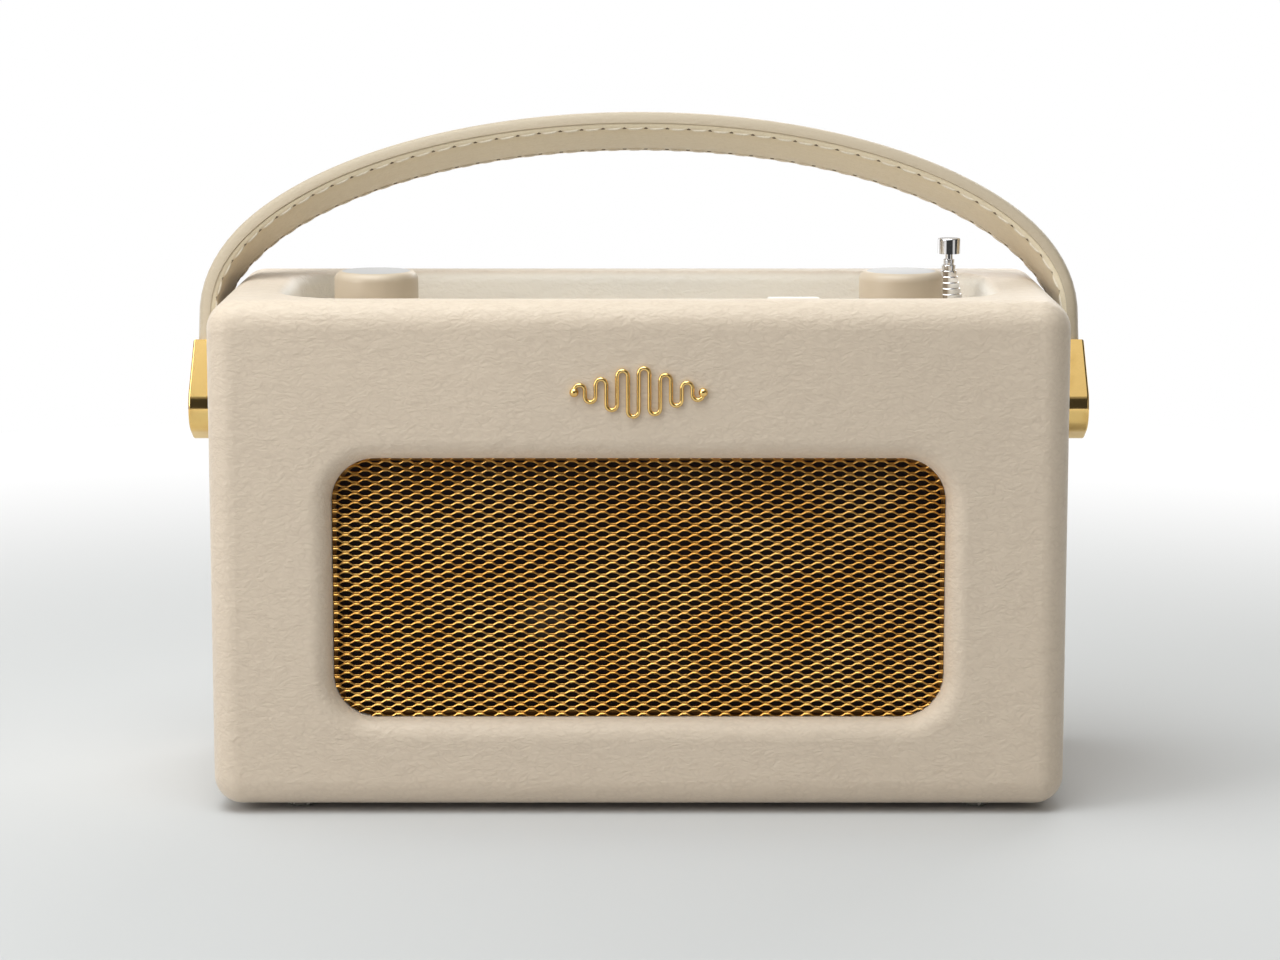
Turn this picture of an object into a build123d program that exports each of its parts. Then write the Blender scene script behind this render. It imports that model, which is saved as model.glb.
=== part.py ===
from build123d import *

import os
from math import asin, cos, exp, radians, sin

os.makedirs("parts", exist_ok=True)

# A leather-covered portable radio: +X to its right, +Y to its back, +Z up.
# The origin lies on the table, under the middle of the cabinet. All sizes are in millimetres.

# Cabinet, over its leather
cabinet_width = 250.0
cabinet_depth = 104.0
cabinet_height = 149.0
corner_radius = 8.5
front_radius = 8.0
rear_radius = 5.0
board_thickness = 8.0
leather_thickness = 1.0
batten_width = 8.0
batten_depth = 6.5

# Feet
foot_height = 2.0
foot_radius = 4.4
foot_inset_x = 25.0
foot_inset_y = 14.0

# Grille opening and what stands behind it
grille_side_margin = 35.5
grille_rise = 26.0
grille_drop = 46.0
grille_width = cabinet_width - 2 * grille_side_margin
grille_height = cabinet_height - grille_rise - grille_drop
grille_corner = 13.0
grille_roll = 6.0
grille_sheet = 1.0
grille_clearance = 0.2
grille_flange = 5.0
cloth_thickness = 0.4
speaker_board_thickness = 7.0
speaker_board_width = cabinet_width - 50.0
speaker_board_height = cabinet_height - 41.0

# Control recess in the top, and the panel at its bottom
recess_side_margin = 21.0
recess_end_margin = 14.0
recess_width = cabinet_width - 2 * recess_side_margin
recess_depth = cabinet_depth - 2 * recess_end_margin
recess_corner = 20.0
recess_roll = 3.5
panel_thickness = 2.5
panel_margin = 1.0
panel_space = 6.5

# Knobs and encoders
knob_x = recess_width / 2 - 25.1
knob_radius = 12.6
knob_proud = 4.0
knob_gap = 1.2
knob_shoulder = 2.6
knob_foot_round = 0.4
knob_wall = 2.0
shaft_radius = 3.0
running_clearance = 0.05
encoder_size = 12.5
bush_radius = 3.5
bush_clearance = 0.1
bush_rise = 5.0
nut_flats = 10.0
nut_height = 2.0
press_travel = 0.8

# Buttons
button_length = 14.0
button_width = 6.0
button_rise = 2.2
button_corner = 1.2
button_round = 0.6
button_pitch = 20.0
button_y = -14.0
button_count = 4
standby_length = 15.5
standby_width = 5.0
standby_x = knob_x - 33.5
standby_y = -29.0
standby_drop = 1.0
button_clearance = 0.25
button_flange = 1.2
flange_thickness = 1.0
flange_gap = 0.2

# Display
display_length = 56.0
display_width = 24.0
display_y = 14.0
window_thickness = 1.5
window_frame = 1.0
window_ledge_x = 3.0
window_ledge_y = 2.0
window_chamfer = 0.2
module_clearance = 0.2

# Loudspeaker
speaker_x = -27.0
speaker_height = 57.0
speaker_hole = 31.0
cone_radius = 26.2
coil_radius = 9.9
magnet_radius = 22.5

# Handle
pivot_drop = 36.6
handle_lean = 25.0
strap_width = 21.0
strap_thickness = 5.0
lining_thickness = 1.4
strap_edge = 2.4
strap_seat = 8.0
plate_thickness = 1.2
plate_gap = 0.4
arch_stand_off = plate_thickness + plate_gap + 1.2 + strap_thickness
arch_half_width = cabinet_width / 2 + arch_stand_off
arch_rise = 63.7
arch_centre = 27.0
cap_wall = 0.8
cap_reach = 17.0
cap_drop = 9.5
cap_flat = 1.0
cap_edge = 0.7
cap_top_proud = arch_stand_off + 1.1
cap_bottom_proud = cap_top_proud + 1.0
pivot_radius = 3.0
pivot_head_radius = 5.4
pivot_head = 1.8
pivot_head_clearance = 0.3
pivot_sink = 0.2
pivot_thread = 2.0

# Aerial
aerial_x = knob_x + knob_radius + 2.8
aerial_y = 13.0
tube_count = 7
tube_radius = 4.0
tube_step = 0.4
tube_wall = 0.32
ring_proud = 0.12
ring_height = 1.15
ring_pitch = 1.75
first_ring_drop = 4.7
tip_radius = 3.4
tip_height = 4.7
tip_round = 0.5
neck_height = 1.6
knuckle_height = 11.0
knuckle_pin = 7.0

# Wood screws, all alike
screw_radius = 1.5
screw_length = 6.5
screw_head_radius = 2.9
screw_head = 1.6
screw_head_clearance = 0.2
panel_screw_y = recess_depth / 2 - 13.0
panel_screw_inset = 5.5
rear_screw_shift = 0.7

# Small screws for the circuit boards
board_screw_radius = 1.0
board_screw_head_radius = 2.2
board_screw_head = 1.4
board_screw_reach = 5.0
board_hole_radius = 1.3

# Rear panel, battery door and sockets
rear_inset = 1.0
rear_panel_thickness = 3.0
rear_clearance = 0.3
rear_corner = 1.5
cell_radius = 7.15
cell_length = 50.5
cell_pitch = 2 * cell_radius + 0.7
cell_count = 4
contact_space = 3.4
tray_wall = 1.5
battery_x = -30.0
tray_rise = 9.0
door_clearance = 0.4
door_thickness = 2.7
door_pin_radius = 0.9
jack_body = 8.0
jack_bore = 1.8
jack_depth = 14.0
jack_nose = 3.1
dc_body = 9.6
dc_bore = 3.15
dc_depth = 10.0
dc_pin = 1.0
dc_nose = 4.1
socket_clearance = 0.1
pcb_thickness = 1.6

# Places worked out from the sizes above
wall = board_thickness + leather_thickness
half_width = cabinet_width / 2
front_y = -cabinet_depth / 2
rear_y = cabinet_depth / 2
base_z = foot_height
top_z = base_z + cabinet_height
middle_z = base_z + cabinet_height / 2
cavity_half = half_width - wall
floor_z = base_z + wall
ceiling_z = top_z - wall
baffle_back = front_y + wall
panel_face_y = rear_y - rear_inset
panel_back_y = panel_face_y - rear_panel_thickness
grille_z = base_z + grille_rise + grille_height / 2
recess_floor = ceiling_z
panel_under = recess_floor - panel_thickness
board_top = panel_under - panel_space
panel_screw_x = cavity_half - panel_screw_inset
rear_screw_x = cavity_half - batten_width / 2 - rear_screw_shift
rear_screw_pitch = (ceiling_z - floor_z) / 2 - batten_width / 2 - rear_screw_shift
near = 0.01


def facing(y):
    """A plane at depth y that is sketched in X and Z and faces the front."""
    return Plane(origin=(0, y, 0), x_dir=(1, 0, 0), z_dir=(0, -1, 0))


def lying(z):
    """A level plane at height z."""
    return Plane.XY.offset(z)


def save(part, name):
    """Labels a finished piece and writes it under its own name."""
    part.label = name
    export_step(part, f"parts/{name}.step")


def case_block(inset, cavity_end):
    """The cabinet's block with its openings, shrunk by inset on every face."""
    front = front_y + inset
    top = top_z - inset
    grille_half = grille_width / 2 + inset
    recess_half_width = recess_width / 2 + inset
    recess_half_depth = recess_depth / 2 + inset
    with BuildPart() as block:
        with BuildSketch(facing(front)):
            with Locations((0, middle_z)):
                RectangleRounded(
                    cabinet_width - 2 * inset, cabinet_height - 2 * inset, corner_radius - inset
                )
        extrude(amount=-(cabinet_depth - 2 * inset))
        fillet(block.faces().sort_by(Axis.Y)[0].edges(), front_radius - inset)
        fillet(block.faces().sort_by(Axis.Y)[-1].edges(), rear_radius - inset)
        with BuildSketch(facing(front)):
            with Locations((0, grille_z)):
                RectangleRounded(2 * grille_half, grille_height + 2 * inset, grille_corner + inset)
        extrude(amount=-(wall - inset), mode=Mode.SUBTRACT)
        grille_rim = (
            block.edges()
            .filter_by_position(Axis.Y, front - near, front + near)
            .filter_by_position(Axis.Z, base_z + grille_rise / 2, top_z - grille_drop / 2)
            .filter_by_position(Axis.X, -grille_half - near, grille_half + near)
        )
        fillet(grille_rim, grille_roll - inset)
        with BuildSketch(lying(top)):
            RectangleRounded(2 * recess_half_width, 2 * recess_half_depth, recess_corner + inset)
        extrude(amount=-(wall - inset), mode=Mode.SUBTRACT)
        recess_rim = (
            block.edges()
            .filter_by_position(Axis.Z, top - near, top + near)
            .filter_by_position(Axis.Y, -recess_half_depth - near, recess_half_depth + near)
            .filter_by_position(Axis.X, -recess_half_width - near, recess_half_width + near)
        )
        fillet(recess_rim, recess_roll - inset)
        with BuildSketch(facing(baffle_back)):
            with Locations((0, middle_z)):
                Rectangle(2 * cavity_half, ceiling_z - floor_z)
        extrude(amount=-(cavity_end - baffle_back), mode=Mode.SUBTRACT)
    return block.part


# The wooden sleeve: the top, bottom and sides, with battens round the back
wooden_case = case_block(leather_thickness, rear_y)

with BuildPart() as cabinet_shell:
    add(wooden_case)
    with BuildSketch(facing(front_y)):
        with Locations((0, middle_z)):
            Rectangle(2 * cavity_half, ceiling_z - floor_z)
    extrude(amount=-wall, mode=Mode.SUBTRACT)
    with BuildSketch(facing(panel_back_y)):
        with Locations((0, middle_z)):
            Rectangle(2 * cavity_half, ceiling_z - floor_z)
            Rectangle(
                2 * (cavity_half - batten_width),
                ceiling_z - floor_z - 2 * batten_width,
                mode=Mode.SUBTRACT,
            )
    extrude(amount=batten_depth)
    with BuildSketch(facing(panel_back_y)):
        with Locations((0, middle_z)):
            with GridLocations(2 * rear_screw_x, rear_screw_pitch, 2, 3):
                Circle(screw_radius)
    extrude(amount=batten_depth, mode=Mode.SUBTRACT)
    with BuildSketch(lying(recess_floor)):
        with GridLocations(2 * panel_screw_x, 2 * panel_screw_y, 2, 2):
            Circle(screw_radius)
    extrude(amount=screw_length - panel_thickness, mode=Mode.SUBTRACT)
    with Locations(Plane.YZ):
        with Locations((0, top_z - pivot_drop)):
            Hole(pivot_thread)
save(cabinet_shell.part, "cabinet_shell")

# The front board, inside the sleeve, with the grille opening
with BuildPart() as front_baffle:
    with BuildSketch(facing(front_y + leather_thickness)):
        with Locations((0, middle_z)):
            Rectangle(2 * cavity_half, ceiling_z - floor_z)
        with Locations((0, grille_z)):
            RectangleRounded(
                grille_width + 2 * leather_thickness,
                grille_height + 2 * leather_thickness,
                grille_corner + leather_thickness,
                mode=Mode.SUBTRACT,
            )
    extrude(amount=-board_thickness)
    baffle_rim = (
        front_baffle.faces()
        .sort_by(Axis.Y)[0]
        .inner_wires()[0]
        .edges()
    )
    fillet(baffle_rim, grille_roll - leather_thickness)
save(front_baffle.part, "front_baffle")

# The leather skin, which turns in at the grille, the recess and the back
with BuildPart() as leather_covering:
    add(case_block(0, panel_back_y))
    with BuildSketch(facing(panel_back_y)):
        with Locations((0, middle_z)):
            Rectangle(
                2 * (cavity_half - leather_thickness),
                ceiling_z - floor_z - 2 * leather_thickness,
            )
    extrude(amount=-(rear_y - panel_back_y), mode=Mode.SUBTRACT)
    add(wooden_case, mode=Mode.SUBTRACT)
    with Locations(Plane.YZ):
        with Locations((0, top_z - pivot_drop)):
            Hole(pivot_thread)
save(leather_covering.part, "leather_covering")

# Four domed feet
with BuildPart() as feet:
    with BuildSketch(lying(base_z)):
        with GridLocations(
            cabinet_width - 2 * foot_inset_x, cabinet_depth - 2 * foot_inset_y, 2, 2
        ):
            Circle(foot_radius)
    extrude(amount=-foot_height)
    fillet(feet.edges().filter_by_position(Axis.Z, -near, near), foot_height * 0.7)
save(feet.part, "feet")

# The ornament: a packet of radio waves as one brass line, with a bead at each end
ornament_turns = 12
ornament_pitch = 3.1
ornament_line = 1.4
ornament_height = 5.6
ornament_taper = 2.6
ornament_depth = 1.9
ornament_drop = 26.0
bead_radius = 1.35
turn_radius = ornament_pitch / 2
ornament_z = top_z - ornament_drop


def wave_height(turn):
    """How far from the middle line the straight part of one turn reaches."""
    centred = (turn - (ornament_turns - 1) / 2) / (ornament_turns / 2)
    return ornament_height * exp(-ornament_taper * centred * centred)


with BuildPart() as front_ornament:
    with BuildSketch(facing(front_y)):
        with BuildLine():
            leg_x = -ornament_turns * ornament_pitch / 2
            previous = ornament_z
            for turn in range(ornament_turns):
                side = 1 if turn % 2 == 0 else -1
                reach = ornament_z + side * wave_height(turn)
                Line((leg_x, previous), (leg_x, reach))
                ThreePointArc(
                    (leg_x, reach),
                    (leg_x + turn_radius, reach + side * turn_radius),
                    (leg_x + ornament_pitch, reach),
                )
                leg_x += ornament_pitch
                previous = reach
            Line((leg_x, previous), (leg_x, ornament_z))
        trace(line_width=ornament_line)
        with Locations((-leg_x, ornament_z), (leg_x, ornament_z)):
            Circle(bead_radius)
    extrude(amount=ornament_depth)
save(front_ornament.part, "front_ornament")

# The grille: a shallow tray of sheet metal pushed into the opening from behind
grille_face_y = front_y + grille_roll + grille_clearance
with BuildPart() as speaker_grille:
    with BuildSketch(facing(baffle_back + grille_sheet)):
        with Locations((0, grille_z)):
            RectangleRounded(
                grille_width + 2 * grille_flange,
                grille_height + 2 * grille_flange,
                grille_corner + grille_flange,
            )
    extrude(amount=grille_sheet)
    with BuildSketch(facing(baffle_back)):
        with Locations((0, grille_z)):
            RectangleRounded(
                grille_width - 2 * grille_clearance,
                grille_height - 2 * grille_clearance,
                grille_corner - grille_clearance,
            )
    extrude(amount=baffle_back - grille_face_y)
    with BuildSketch(facing(baffle_back + grille_sheet)):
        with Locations((0, grille_z)):
            RectangleRounded(
                grille_width - 2 * grille_clearance - 2 * grille_sheet,
                grille_height - 2 * grille_clearance - 2 * grille_sheet,
                grille_corner - grille_clearance - grille_sheet,
            )
    extrude(amount=baffle_back - grille_face_y, mode=Mode.SUBTRACT)
save(speaker_grille.part, "speaker_grille")

# The cloth behind the grille
cloth_y = baffle_back + grille_sheet
with BuildPart() as grille_cloth:
    with BuildSketch(facing(cloth_y)):
        with Locations((0, grille_z)):
            RectangleRounded(
                grille_width + 2 * grille_flange,
                grille_height + 2 * grille_flange,
                grille_corner + grille_flange,
            )
    extrude(amount=-cloth_thickness)
save(grille_cloth.part, "grille_cloth")

# The board that carries the loudspeaker, rebated for the grille's flange and the cloth
speaker_z = speaker_height
speaker_face_y = baffle_back + speaker_board_thickness
basket_rim = speaker_hole + 7.4
basket_sheet = 1.3
basket_lip = 0.5
basket_flare = 1.2
speaker_screw_circle = speaker_hole + 4.3
speaker_screw_depth = screw_length - basket_sheet
with BuildPart() as speaker_board:
    with BuildSketch(facing(baffle_back)):
        with Locations((0, floor_z + speaker_board_height / 2)):
            Rectangle(speaker_board_width, speaker_board_height)
    extrude(amount=-speaker_board_thickness)
    with BuildSketch(facing(baffle_back)):
        with Locations((0, grille_z)):
            RectangleRounded(
                grille_width + 2 * grille_flange + 2 * grille_clearance,
                grille_height + 2 * grille_flange + 2 * grille_clearance,
                grille_corner + grille_flange + grille_clearance,
            )
    extrude(amount=-(grille_sheet + cloth_thickness), mode=Mode.SUBTRACT)
    with BuildSketch(facing(baffle_back)):
        with Locations((speaker_x, speaker_z)):
            Circle(speaker_hole)
    extrude(amount=-speaker_board_thickness, mode=Mode.SUBTRACT)
    with BuildSketch(facing(speaker_face_y)):
        with Locations((speaker_x, speaker_z)):
            with PolarLocations(speaker_screw_circle, 4, start_angle=45):
                Circle(screw_radius)
    extrude(amount=speaker_screw_depth, mode=Mode.SUBTRACT)
save(speaker_board.part, "speaker_board")

# The loudspeaker, turned about its own axis, which runs from front to back
speaker_axis = Axis((speaker_x, 0, speaker_z), (0, 1, 0))
speaker_plane = Plane(origin=(speaker_x, 0, speaker_z))
neck_y = speaker_face_y + 20.0
neck_radius = 16.0
coil_wall = 0.6
coil_gap = 0.9
cone_wall = 0.6
plate_y = neck_y + 1.6
magnet_y = plate_y + 12.0
back_plate_y = magnet_y + 4.0

with BuildPart() as speaker_basket:
    with BuildSketch(speaker_plane):
        with BuildLine():
            Polyline(
                (speaker_hole - basket_lip, speaker_face_y),
                (basket_rim, speaker_face_y),
                (basket_rim, speaker_face_y + basket_sheet),
                (speaker_hole + basket_flare, speaker_face_y + basket_sheet),
                (neck_radius + basket_sheet, neck_y),
                (neck_radius + basket_sheet, plate_y),
                (coil_radius + coil_gap, plate_y),
                (coil_radius + coil_gap, plate_y - basket_sheet),
                (neck_radius, plate_y - basket_sheet),
                (speaker_hole - basket_lip, speaker_face_y + basket_sheet),
                close=True,
            )
        make_face()
    revolve(axis=speaker_axis)
    with BuildSketch(facing(speaker_face_y)):
        with Locations((speaker_x, speaker_z)):
            with PolarLocations(speaker_screw_circle, 4, start_angle=45):
                Circle(screw_radius)
    extrude(amount=-basket_sheet, mode=Mode.SUBTRACT)
save(speaker_basket.part, "speaker_basket")

with BuildPart() as speaker_magnet:
    with BuildSketch(speaker_plane):
        with BuildLine():
            Polyline(
                (0, plate_y),
                (coil_radius - coil_wall - coil_gap / 2, plate_y),
                (coil_radius - coil_wall - coil_gap / 2, magnet_y),
                (coil_radius + coil_gap, magnet_y),
                (coil_radius + coil_gap, plate_y),
                (magnet_radius, plate_y),
                (magnet_radius, back_plate_y),
                (0, back_plate_y),
                close=True,
            )
        make_face()
    revolve(axis=speaker_axis)
save(speaker_magnet.part, "speaker_magnet")

# The cone, with its voice coil and dust cap, which moves as one
cone_front_y = speaker_face_y - 0.2
cone_back_y = cone_front_y + 13.0
coil_end_y = magnet_y - 4.5
dust_rise = 3.6


def dome_middle(apex_y, edge_radius, edge_y):
    """The middle point of a round arc from the axis at apex_y to a dome's edge."""
    rise = edge_y - apex_y
    dome_radius = (edge_radius**2 + rise**2) / (2 * rise)
    half_angle = asin(edge_radius / dome_radius) / 2
    return (dome_radius * sin(half_angle), apex_y + dome_radius * (1 - cos(half_angle)))


dome_front = cone_back_y - dust_rise
dome_edge = cone_back_y - cone_wall / 2
dome_inner_front = dome_front + cone_wall
dome_inner_edge = cone_back_y + cone_wall
coil_inner = coil_radius - coil_wall
with BuildPart() as speaker_cone:
    with BuildSketch(speaker_plane):
        with BuildLine():
            ThreePointArc(
                (0, dome_inner_front),
                dome_middle(dome_inner_front, coil_inner, dome_inner_edge),
                (coil_inner, dome_inner_edge),
            )
            Polyline(
                (coil_inner, dome_inner_edge),
                (coil_inner, coil_end_y),
                (coil_radius, coil_end_y),
                (coil_radius, cone_back_y + cone_wall),
                (cone_radius, cone_front_y + cone_wall),
                (cone_radius, cone_front_y),
                (coil_radius, dome_edge),
            )
            ThreePointArc(
                (coil_radius, dome_edge),
                dome_middle(dome_front, coil_radius, dome_edge),
                (0, dome_front),
            )
            Line((0, dome_front), (0, dome_inner_front))
        make_face()
    revolve(axis=speaker_axis)
save(speaker_cone.part, "speaker_cone")

surround_radius = (speaker_hole - 1.0 - cone_radius) / 2
with BuildPart() as speaker_surround:
    with BuildSketch(speaker_plane):
        with Locations((cone_radius + surround_radius, cone_front_y)):
            Circle(surround_radius)
            Circle(surround_radius - cone_wall, mode=Mode.SUBTRACT)
            with Locations((0, surround_radius)):
                Rectangle(4 * surround_radius, 2 * surround_radius, mode=Mode.SUBTRACT)
    revolve(axis=speaker_axis)
save(speaker_surround.part, "speaker_surround")

# The control panel, screwed under the top board, with everything that comes up through it
window_clearance = 0.1
guide_bore = tube_radius + ring_proud + 0.08
guide_wall = 1.1
guide_floor = 0.8
bush_stem_radius = guide_bore + 0.8
bush_rim_radius = guide_bore + 2.0
bush_rim_height = 1.3
bush_chamfer = 0.4
control_board_half = knob_x + 8.1
control_board_reach = recess_depth / 2 - 3.0
post_radius = 3.0
post_x = knob_x - 12.9
post_y = control_board_reach - 11.0
panel_length = 2 * (cavity_half - panel_margin)
panel_front_y = baffle_back + panel_margin
panel_rear_y = panel_back_y - batten_depth - panel_margin
panel_middle_y = (panel_front_y + panel_rear_y) / 2
first_button_x = -button_pitch * (button_count - 1) / 2
button_places = [(first_button_x + n * button_pitch, button_y) for n in range(button_count)]
window_length = display_length - 2 * window_frame
window_width = display_width - 2 * window_frame
ledge_length = window_length - 2 * window_ledge_x
ledge_width = window_width - 2 * window_ledge_y

with BuildPart() as control_panel:
    with BuildSketch(lying(panel_under)):
        with Locations((0, panel_middle_y)):
            Rectangle(panel_length, panel_rear_y - panel_front_y)
        with Locations((-knob_x, 0), (knob_x, 0)):
            Circle(bush_radius + bush_clearance, mode=Mode.SUBTRACT)
        with Locations((aerial_x, aerial_y)):
            Circle(bush_stem_radius, mode=Mode.SUBTRACT)
        with Locations(*button_places):
            RectangleRounded(
                button_length + 2 * button_clearance,
                button_width + 2 * button_clearance,
                button_corner + button_clearance,
                mode=Mode.SUBTRACT,
            )
        with Locations((standby_x, standby_y)):
            RectangleRounded(
                standby_length + 2 * button_clearance,
                standby_width + 2 * button_clearance,
                button_corner + button_clearance,
                mode=Mode.SUBTRACT,
            )
        with Locations((0, display_y)):
            Rectangle(ledge_length, ledge_width, mode=Mode.SUBTRACT)
        with GridLocations(2 * panel_screw_x, 2 * panel_screw_y, 2, 2):
            Circle(screw_radius, mode=Mode.SUBTRACT)
    extrude(amount=panel_thickness)
    with BuildSketch(lying(recess_floor)):
        with Locations((0, display_y)):
            Rectangle(window_length + 2 * window_clearance, window_width + 2 * window_clearance)
    extrude(amount=-window_thickness, mode=Mode.SUBTRACT)
    with BuildSketch(lying(board_top)):
        with GridLocations(2 * post_x, 2 * post_y, 2, 2):
            Circle(post_radius)
            Circle(board_screw_radius, mode=Mode.SUBTRACT)
    extrude(amount=panel_under - board_top)
save(control_panel.part, "control_panel")

with BuildPart() as display_window:
    with BuildSketch(lying(recess_floor - window_thickness)):
        with Locations((0, display_y)):
            Rectangle(window_length, window_width)
    extrude(amount=window_thickness)
    chamfer(display_window.faces().sort_by(Axis.Z)[-1].edges(), window_chamfer)
save(display_window.part, "display_window")

with BuildPart() as display_module:
    with BuildSketch(lying(board_top)):
        with Locations((0, display_y)):
            Rectangle(display_length, display_width)
    extrude(amount=panel_under - board_top)
    with BuildSketch(lying(panel_under)):
        with Locations((0, display_y)):
            Rectangle(ledge_length - 2 * module_clearance, ledge_width - 2 * module_clearance)
    extrude(amount=panel_thickness - window_thickness)
save(display_module.part, "display_module")

# The control board, held under the panel's posts
with BuildPart() as control_board:
    with BuildSketch(lying(board_top - pcb_thickness)):
        Rectangle(2 * control_board_half, 2 * control_board_reach)
        with GridLocations(2 * post_x, 2 * post_y, 2, 2):
            Circle(board_hole_radius, mode=Mode.SUBTRACT)
    extrude(amount=pcb_thickness)
save(control_board.part, "control_board")

switch_size = 6.0
switch_height = 3.5
switch_pin_radius = 1.6
switch_pin_height = 0.9
with BuildPart() as button_switches:
    with BuildSketch(lying(board_top)):
        with Locations(*button_places, (standby_x, standby_y)):
            Rectangle(switch_size, switch_size)
    extrude(amount=switch_height)
    with BuildSketch(lying(board_top + switch_height)):
        with Locations(*button_places, (standby_x, standby_y)):
            Circle(switch_pin_radius)
    extrude(amount=switch_pin_height)
save(button_switches.part, "button_switches")


def make_button(place, length, width, top, name):
    """A push button: a cap through the panel on a flange that keeps it in."""
    flange_top = panel_under - flange_gap
    flange_bottom = flange_top - flange_thickness
    with BuildPart() as button:
        with BuildSketch(lying(flange_bottom)):
            with Locations(place):
                Rectangle(length + 2 * button_flange, width + 2 * button_flange)
        extrude(amount=flange_thickness)
        with BuildSketch(lying(flange_top)):
            with Locations(place):
                RectangleRounded(length, width, button_corner)
        extrude(amount=top - flange_top)
        fillet(button.faces().sort_by(Axis.Z)[-1].edges(), button_round)
    save(button.part, name)


button_names = ["menu_button", "info_button", "band_button", "preset_button"]
for name, place in zip(button_names, button_places):
    make_button(place, button_length, button_width, recess_floor + button_rise, name)
make_button(
    (standby_x, standby_y), standby_length, standby_width, top_z - standby_drop, "standby_button"
)

# Rotary encoders, their nuts, shafts and knobs
bush_top = panel_under + bush_rise
encoder_floor = board_top + 1.0
knob_bottom = recess_floor + knob_gap
knob_top = top_z + knob_proud
knob_cavity_top = bush_top + press_travel + 1.2
shaft_grip = 5.5
shaft_top = knob_cavity_top + shaft_grip
shaft_end_gap = 0.5


def make_encoder(x, name):
    """An encoder's body with its threaded bush and blind bore."""
    with BuildPart() as encoder:
        with BuildSketch(lying(board_top)):
            with Locations((x, 0)):
                Rectangle(encoder_size, encoder_size)
        extrude(amount=panel_under - board_top)
        with BuildSketch(lying(panel_under)):
            with Locations((x, 0)):
                Circle(bush_radius)
        extrude(amount=bush_rise)
        with BuildSketch(lying(encoder_floor)):
            with Locations((x, 0)):
                Circle(shaft_radius + running_clearance)
        extrude(amount=bush_top - encoder_floor, mode=Mode.SUBTRACT)
    save(encoder.part, name)


def make_shaft(x, bottom, name):
    """A plain shaft from inside the encoder up into the knob."""
    with BuildPart() as shaft:
        with BuildSketch(lying(bottom)):
            with Locations((x, 0)):
                Circle(shaft_radius)
        extrude(amount=shaft_top - bottom)
    save(shaft.part, name)


def make_knob(x, name):
    """A hollow knob with a round shoulder and a faintly dished top."""
    with BuildPart() as knob:
        with BuildSketch(lying(knob_bottom)):
            with Locations((x, 0)):
                Circle(knob_radius)
        extrude(amount=knob_top - knob_bottom)
        fillet(knob.faces().sort_by(Axis.Z)[-1].edges(), knob_shoulder)
        fillet(knob.faces().sort_by(Axis.Z)[0].edges(), knob_foot_round)
        with BuildSketch(lying(knob_bottom)):
            with Locations((x, 0)):
                Circle(knob_radius - knob_wall)
        extrude(amount=knob_cavity_top - knob_bottom, mode=Mode.SUBTRACT)
        with BuildSketch(lying(knob_bottom)):
            with Locations((x, 0)):
                Circle(shaft_radius)
        extrude(amount=shaft_top - knob_bottom, mode=Mode.SUBTRACT)
    save(knob.part, name)


make_encoder(-knob_x, "volume_encoder")
make_encoder(knob_x, "tuning_encoder")
make_shaft(-knob_x, encoder_floor + shaft_end_gap, "volume_shaft")
plunger_height = 1.6
plunger_bottom = encoder_floor + press_travel + 0.3
make_shaft(knob_x, plunger_bottom + plunger_height, "tuning_shaft")
make_knob(-knob_x, "volume_knob")
make_knob(knob_x, "tuning_knob")

with BuildPart() as tuning_plunger:
    with BuildSketch(lying(plunger_bottom)):
        with Locations((knob_x, 0)):
            Circle(shaft_radius)
    extrude(amount=plunger_height)
save(tuning_plunger.part, "tuning_plunger")

with BuildPart() as encoder_nuts:
    with BuildSketch(lying(recess_floor)):
        with Locations((-knob_x, 0), (knob_x, 0)):
            RegularPolygon(nut_flats / 2, 6, major_radius=False)
            Circle(bush_radius, mode=Mode.SUBTRACT)
    extrude(amount=nut_height)
save(encoder_nuts.part, "encoder_nuts")

# The handle, which leans back on its two pivots
pivot_z = top_z - pivot_drop
lean = radians(handle_lean)
arch_plane = Plane(origin=(0, 0, pivot_z), x_dir=(1, 0, 0), z_dir=(0, -cos(lean), sin(lean)))


def arch_line(depth):
    """Half an ellipse on two straight legs, depth millimetres inside the strap's outer face."""
    half = arch_half_width - depth
    EllipticalCenterArc((0, arch_centre), half, arch_rise - depth, arc_size=180)
    Line((half, arch_centre), (half, strap_seat))
    Line((-half, arch_centre), (-half, strap_seat))


def make_strap(outer, inner):
    """One layer of the strap, between two depths below its outer face."""
    with BuildPart() as layer:
        with BuildSketch(arch_plane):
            with BuildLine():
                arch_line(outer)
                arch_line(inner)
                for side in (-1, 1):
                    Line(
                        (side * (arch_half_width - outer), strap_seat),
                        (side * (arch_half_width - inner), strap_seat),
                    )
            make_face()
        extrude(amount=strap_width / 2, both=True)
    return layer.part


facing_depth = strap_thickness - lining_thickness
with BuildPart() as handle_strap:
    add(make_strap(0, facing_depth))
    outer_face = handle_strap.faces().filter_by(GeomType.EXTRUSION).sort_by(SortBy.AREA)[-1]
    fillet(outer_face.edges().filter_by(GeomType.ELLIPSE), strap_edge)
save(handle_strap.part, "handle_strap")
save(make_strap(facing_depth, strap_thickness), "handle_lining")

# A brass cap on each end of the strap
cap_inner = half_width + plate_thickness + plate_gap
cap_half_depth = strap_width / 2 + cap_wall


def arch_height(edge):
    """How far above the pivots an edge's middle lies, along the arch."""
    return arch_plane.to_local_coords(edge.center()).Y


def is_cap_rim(edge, side):
    """Whether an edge bounds the cap's outer side, and isn't the bend across it."""
    outside = side * edge.center().X > half_width + (cap_inner - half_width + cap_top_proud) / 2
    return outside and abs(arch_height(edge)) > near


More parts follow.
